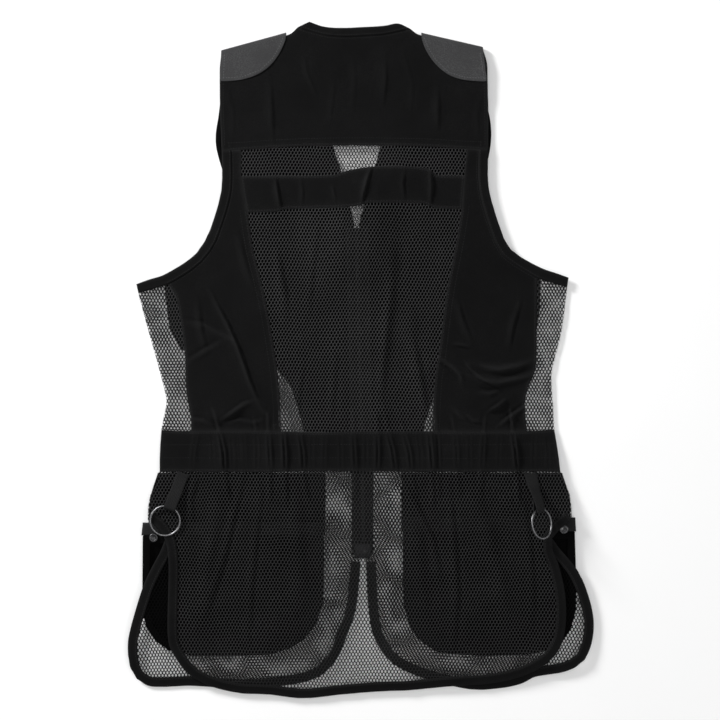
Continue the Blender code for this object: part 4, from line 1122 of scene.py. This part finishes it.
# columns: piece, the pieces along the seam, distances from the edge in mm, side. A * stands for left,
# then for right.
SEAM_ROWS = (
    ("back_yoke", "back_mesh_upper side_back_left side_back_right", (1.8, 7.6), 1),
    ("back_yoke", "neck_binding", (1.8,), 1),
    ("back_cross_band", "back_mesh_upper", (1.8,), 1),
    ("back_cross_band", "back_mesh_main", (1.8,), 1),
    ("back_cross_band", "side_back_left side_back_right", (1.5,), 1),
    ("side_back_*", "back_mesh_main", (1.8, 7.0), 1),
    ("side_back_*", "armhole_binding_*", (1.4,), 1),
    ("side_back_*", "side_flap_*", (1.8,), 1),
    ("waistband", "back_mesh_main side_back_left side_back_right side_flap_left side_flap_right",
     (2.0,), 1),
    ("waistband", "back_skirt_mesh", (2.0,), 1),
    ("neck_binding", "back_yoke", (1.6,), 1),
    ("armhole_binding_*", "side_back_*", (1.6,), 1),
    ("back_skirt_binding", "back_skirt_mesh", (1.8,), 1),
    ("front_binding_*", "front_skirt_*", (1.8,), 1),
    ("front_*", "front_skirt_* zip_tape", (2.0,), -1),
    ("pocket_flap_*", "pocket_flap_*", (3.0,), -1),
    ("pocket_band_*", "pocket_band_*", (1.8,), -1),
    ("pocket_*", "pocket_*", (2.5,), -1),
)
seams = [(piece.replace("*", side), beside.replace("*", side), offsets, facing)
         for piece, beside, offsets, facing in SEAM_ROWS for side in (SIDES if "*" in piece else SIDES[:1])]
for k, (piece, beside, offsets, facing) in enumerate(seams):
    runs = seam_runs(piece, beside, [o * MM for o in offsets])
    thread = "grey_thread" if piece.startswith("pocket_band") else "thread"
    if runs:
        row_of(f"stitches_{k}_{piece}", piece, runs, thread, facing, Seed=k)

# columns: piece, thread, points in pixels
FREE_ROWS = (
    ("back_yoke", "thread", ((223.2, 84), (223, 108), (224.4, 144))),
    ("back_yoke", "thread", ((484.4, 85), (485.2, 112), (485.4, 144))),
    ("waistband", "thread", ((164, 445), (250, 445), (360, 444.3), (470, 445), (554, 444))),
    ("waistband", "thread", ((164, 458), (250, 458.4), (360, 457.6), (470, 458.4), (556, 458))),
    ("shoulder_patch_left", "grey_thread", ((223.5, 77.6), (241, 76.6), (260, 69.8), (272.6, 57.6),
                                            (279.6, 45.4), (282.2, 38.4))),
    ("shoulder_patch_right", "grey_thread", ((484.4, 77.8), (464, 76.8), (448.6, 71.6), (435.6, 58.8),
                                             (428, 46.4), (425, 38.4))),
    ("shoulder_patch_left", "grey_thread", ((224.2, 55), (223.4, 77))),
    ("shoulder_patch_right", "grey_thread", ((480.6, 53), (484.2, 77))),
)
for k, (piece, thread, table) in enumerate(FREE_ROWS):
    row_of(f"topstitch_{k}_{piece}", piece, [along(table)], thread, Seed=50 + k)
print("rows:", len(rows_made), "with", sum(len(o.data.polygons) for o, _ in rows_made.values()), "faces")

# %% [markdown]
# ## Floor, light and camera
# A plain white floor and large soft lights, as in a studio for catalogue pictures. The key light is
# low, so that it grazes the creases. The camera looks straight down, as the photograph does, through a
# long lens.

# %% Floor
REACH, FLOOR_Z = 4, -0.0002


def floor_finish(tree, where):
    tone = mixed(tree, noise(tree, where, 6.0), (0.90, 0.90, 0.90, 1), (0.93, 0.93, 0.93, 1))
    return {"Base Color": tone, "Roughness": 0.9}


floor_mesh = bpy.data.meshes.new("floor")
floor_mesh.from_pydata([(x * REACH, y * REACH, FLOOR_Z) for x, y in ((-1, -1), (1, -1), (1, 1), (-1, 1))],
                       [], [(0, 1, 2, 3)])
floor_mesh.materials.append(principled("white_floor", floor_finish))
placed("floor", floor_mesh)
print("floor laid")

# %% Lights and camera
# columns: light, place, size in metres, power in watts. All aim at the middle of the vest.
LIGHTS = (("key", (-1.9, 1.5, 0.9), 0.6, 90), ("fill", (1.9, -0.9, 2.0), 1.8, 14),
          ("top", (0.0, 0.2, 2.8), 2.0, 24))
for name, place, size, power in LIGHTS:
    light = bpy.data.lights.new(name, "AREA")
    light.shape, light.size, light.energy = "DISK", size, power
    lamp = placed(name, light)
    lamp.location = place
    lamp.rotation_euler = (-Vector(place)).to_track_quat("-Z", "Y").to_euler()
world = bpy.data.worlds.new("studio")
world.use_nodes = True
background = world.node_tree.nodes["Background"].inputs
background["Color"].default_value = (1, 1, 1, 1)
background["Strength"].default_value = 0.34
bpy.context.scene.world = world
bpy.context.scene.view_settings.view_transform = "Standard"

lens = bpy.data.cameras.new("camera")
lens.lens, lens.sensor_width, lens.clip_start = 85, 36, 0.05
camera = placed("camera", lens)
camera.location = (-0.0005, 0.0, 1.776)
bpy.context.scene.camera = camera
print("camera", round(camera.location.z, 3), "m above the floor")

# %% [markdown]
# ## Bodies and cut sizes
# Each piece rides on a body of the frame and stands for its frame piece, and each cloth says how large
# it was cut. A net's flat area is that of its yarn, and a tape is given as a strip.

record = frame["record"]
bodies = {node: body for body, nodes in record["behaviour"]["bodies"].items() for node in nodes}
for name, obj in made.items():
    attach(obj, bodies[name])
    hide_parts(name)
for obj, piece in rows_made.values():
    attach(obj, bodies[piece])
print(len(made), "pieces and", len(rows_made), "rows of stitches declared")

# %% The cut of each sheet
SIDE_NET_LENGTH, PATCH_LENGTH, LEAST_WIDTH = 0.146, 0.075, 0.0105
STRAP_WIDTH, STRAP_FLAT = 0.0125, 0.93


def skin(obj):
    return sum(p.area for p in obj.data.polygons)


def declare(name, width, length):
    print("%-22s %.3f x %.3f m, skin %.4f m2" % (name, width, length, skin(made[name])))


for name, loop in outlines.items():
    if name not in made or name in ("zip_end", "zip_slider", "zip_pull"):
        continue
    loop = tucked(name)
    area, (width, length) = shoelace(loop), loop.max(0) - loop.min(0)
    around = np.hypot(*(np.roll(loop, -1, axis=0) - loop).T).sum()
    if name.startswith("side_mesh"):
        area += shoelace(outlines["side_flap_" + name[10:]])
        declare(name, area / SIDE_NET_LENGTH, SIDE_NET_LENGTH)
    elif name.startswith("shoulder_patch"):
        declare(name, area * 2 / PATCH_LENGTH, PATCH_LENGTH)
    elif "binding" in name or name == "zip_tape":
        declare(name, max(area / (around / 2), LEAST_WIDTH), around / 2)
    elif "mesh" in name or "skirt" in name:
        declare(name, width, length)
    elif name == "waistband":
        declare(name, width, length)
    elif name.startswith("pocket_band"):
        declare(name, width + 2 * BAND_GROWN, length + 2 * BAND_GROWN)
    elif not name.startswith("ring_strap"):
        declare(name, width, length)
for side in SIDES:
    name = "ring_strap_" + side
    declare(name, STRAP_WIDTH, skin(made[name]) / 2 / STRAP_WIDTH * STRAP_FLAT)
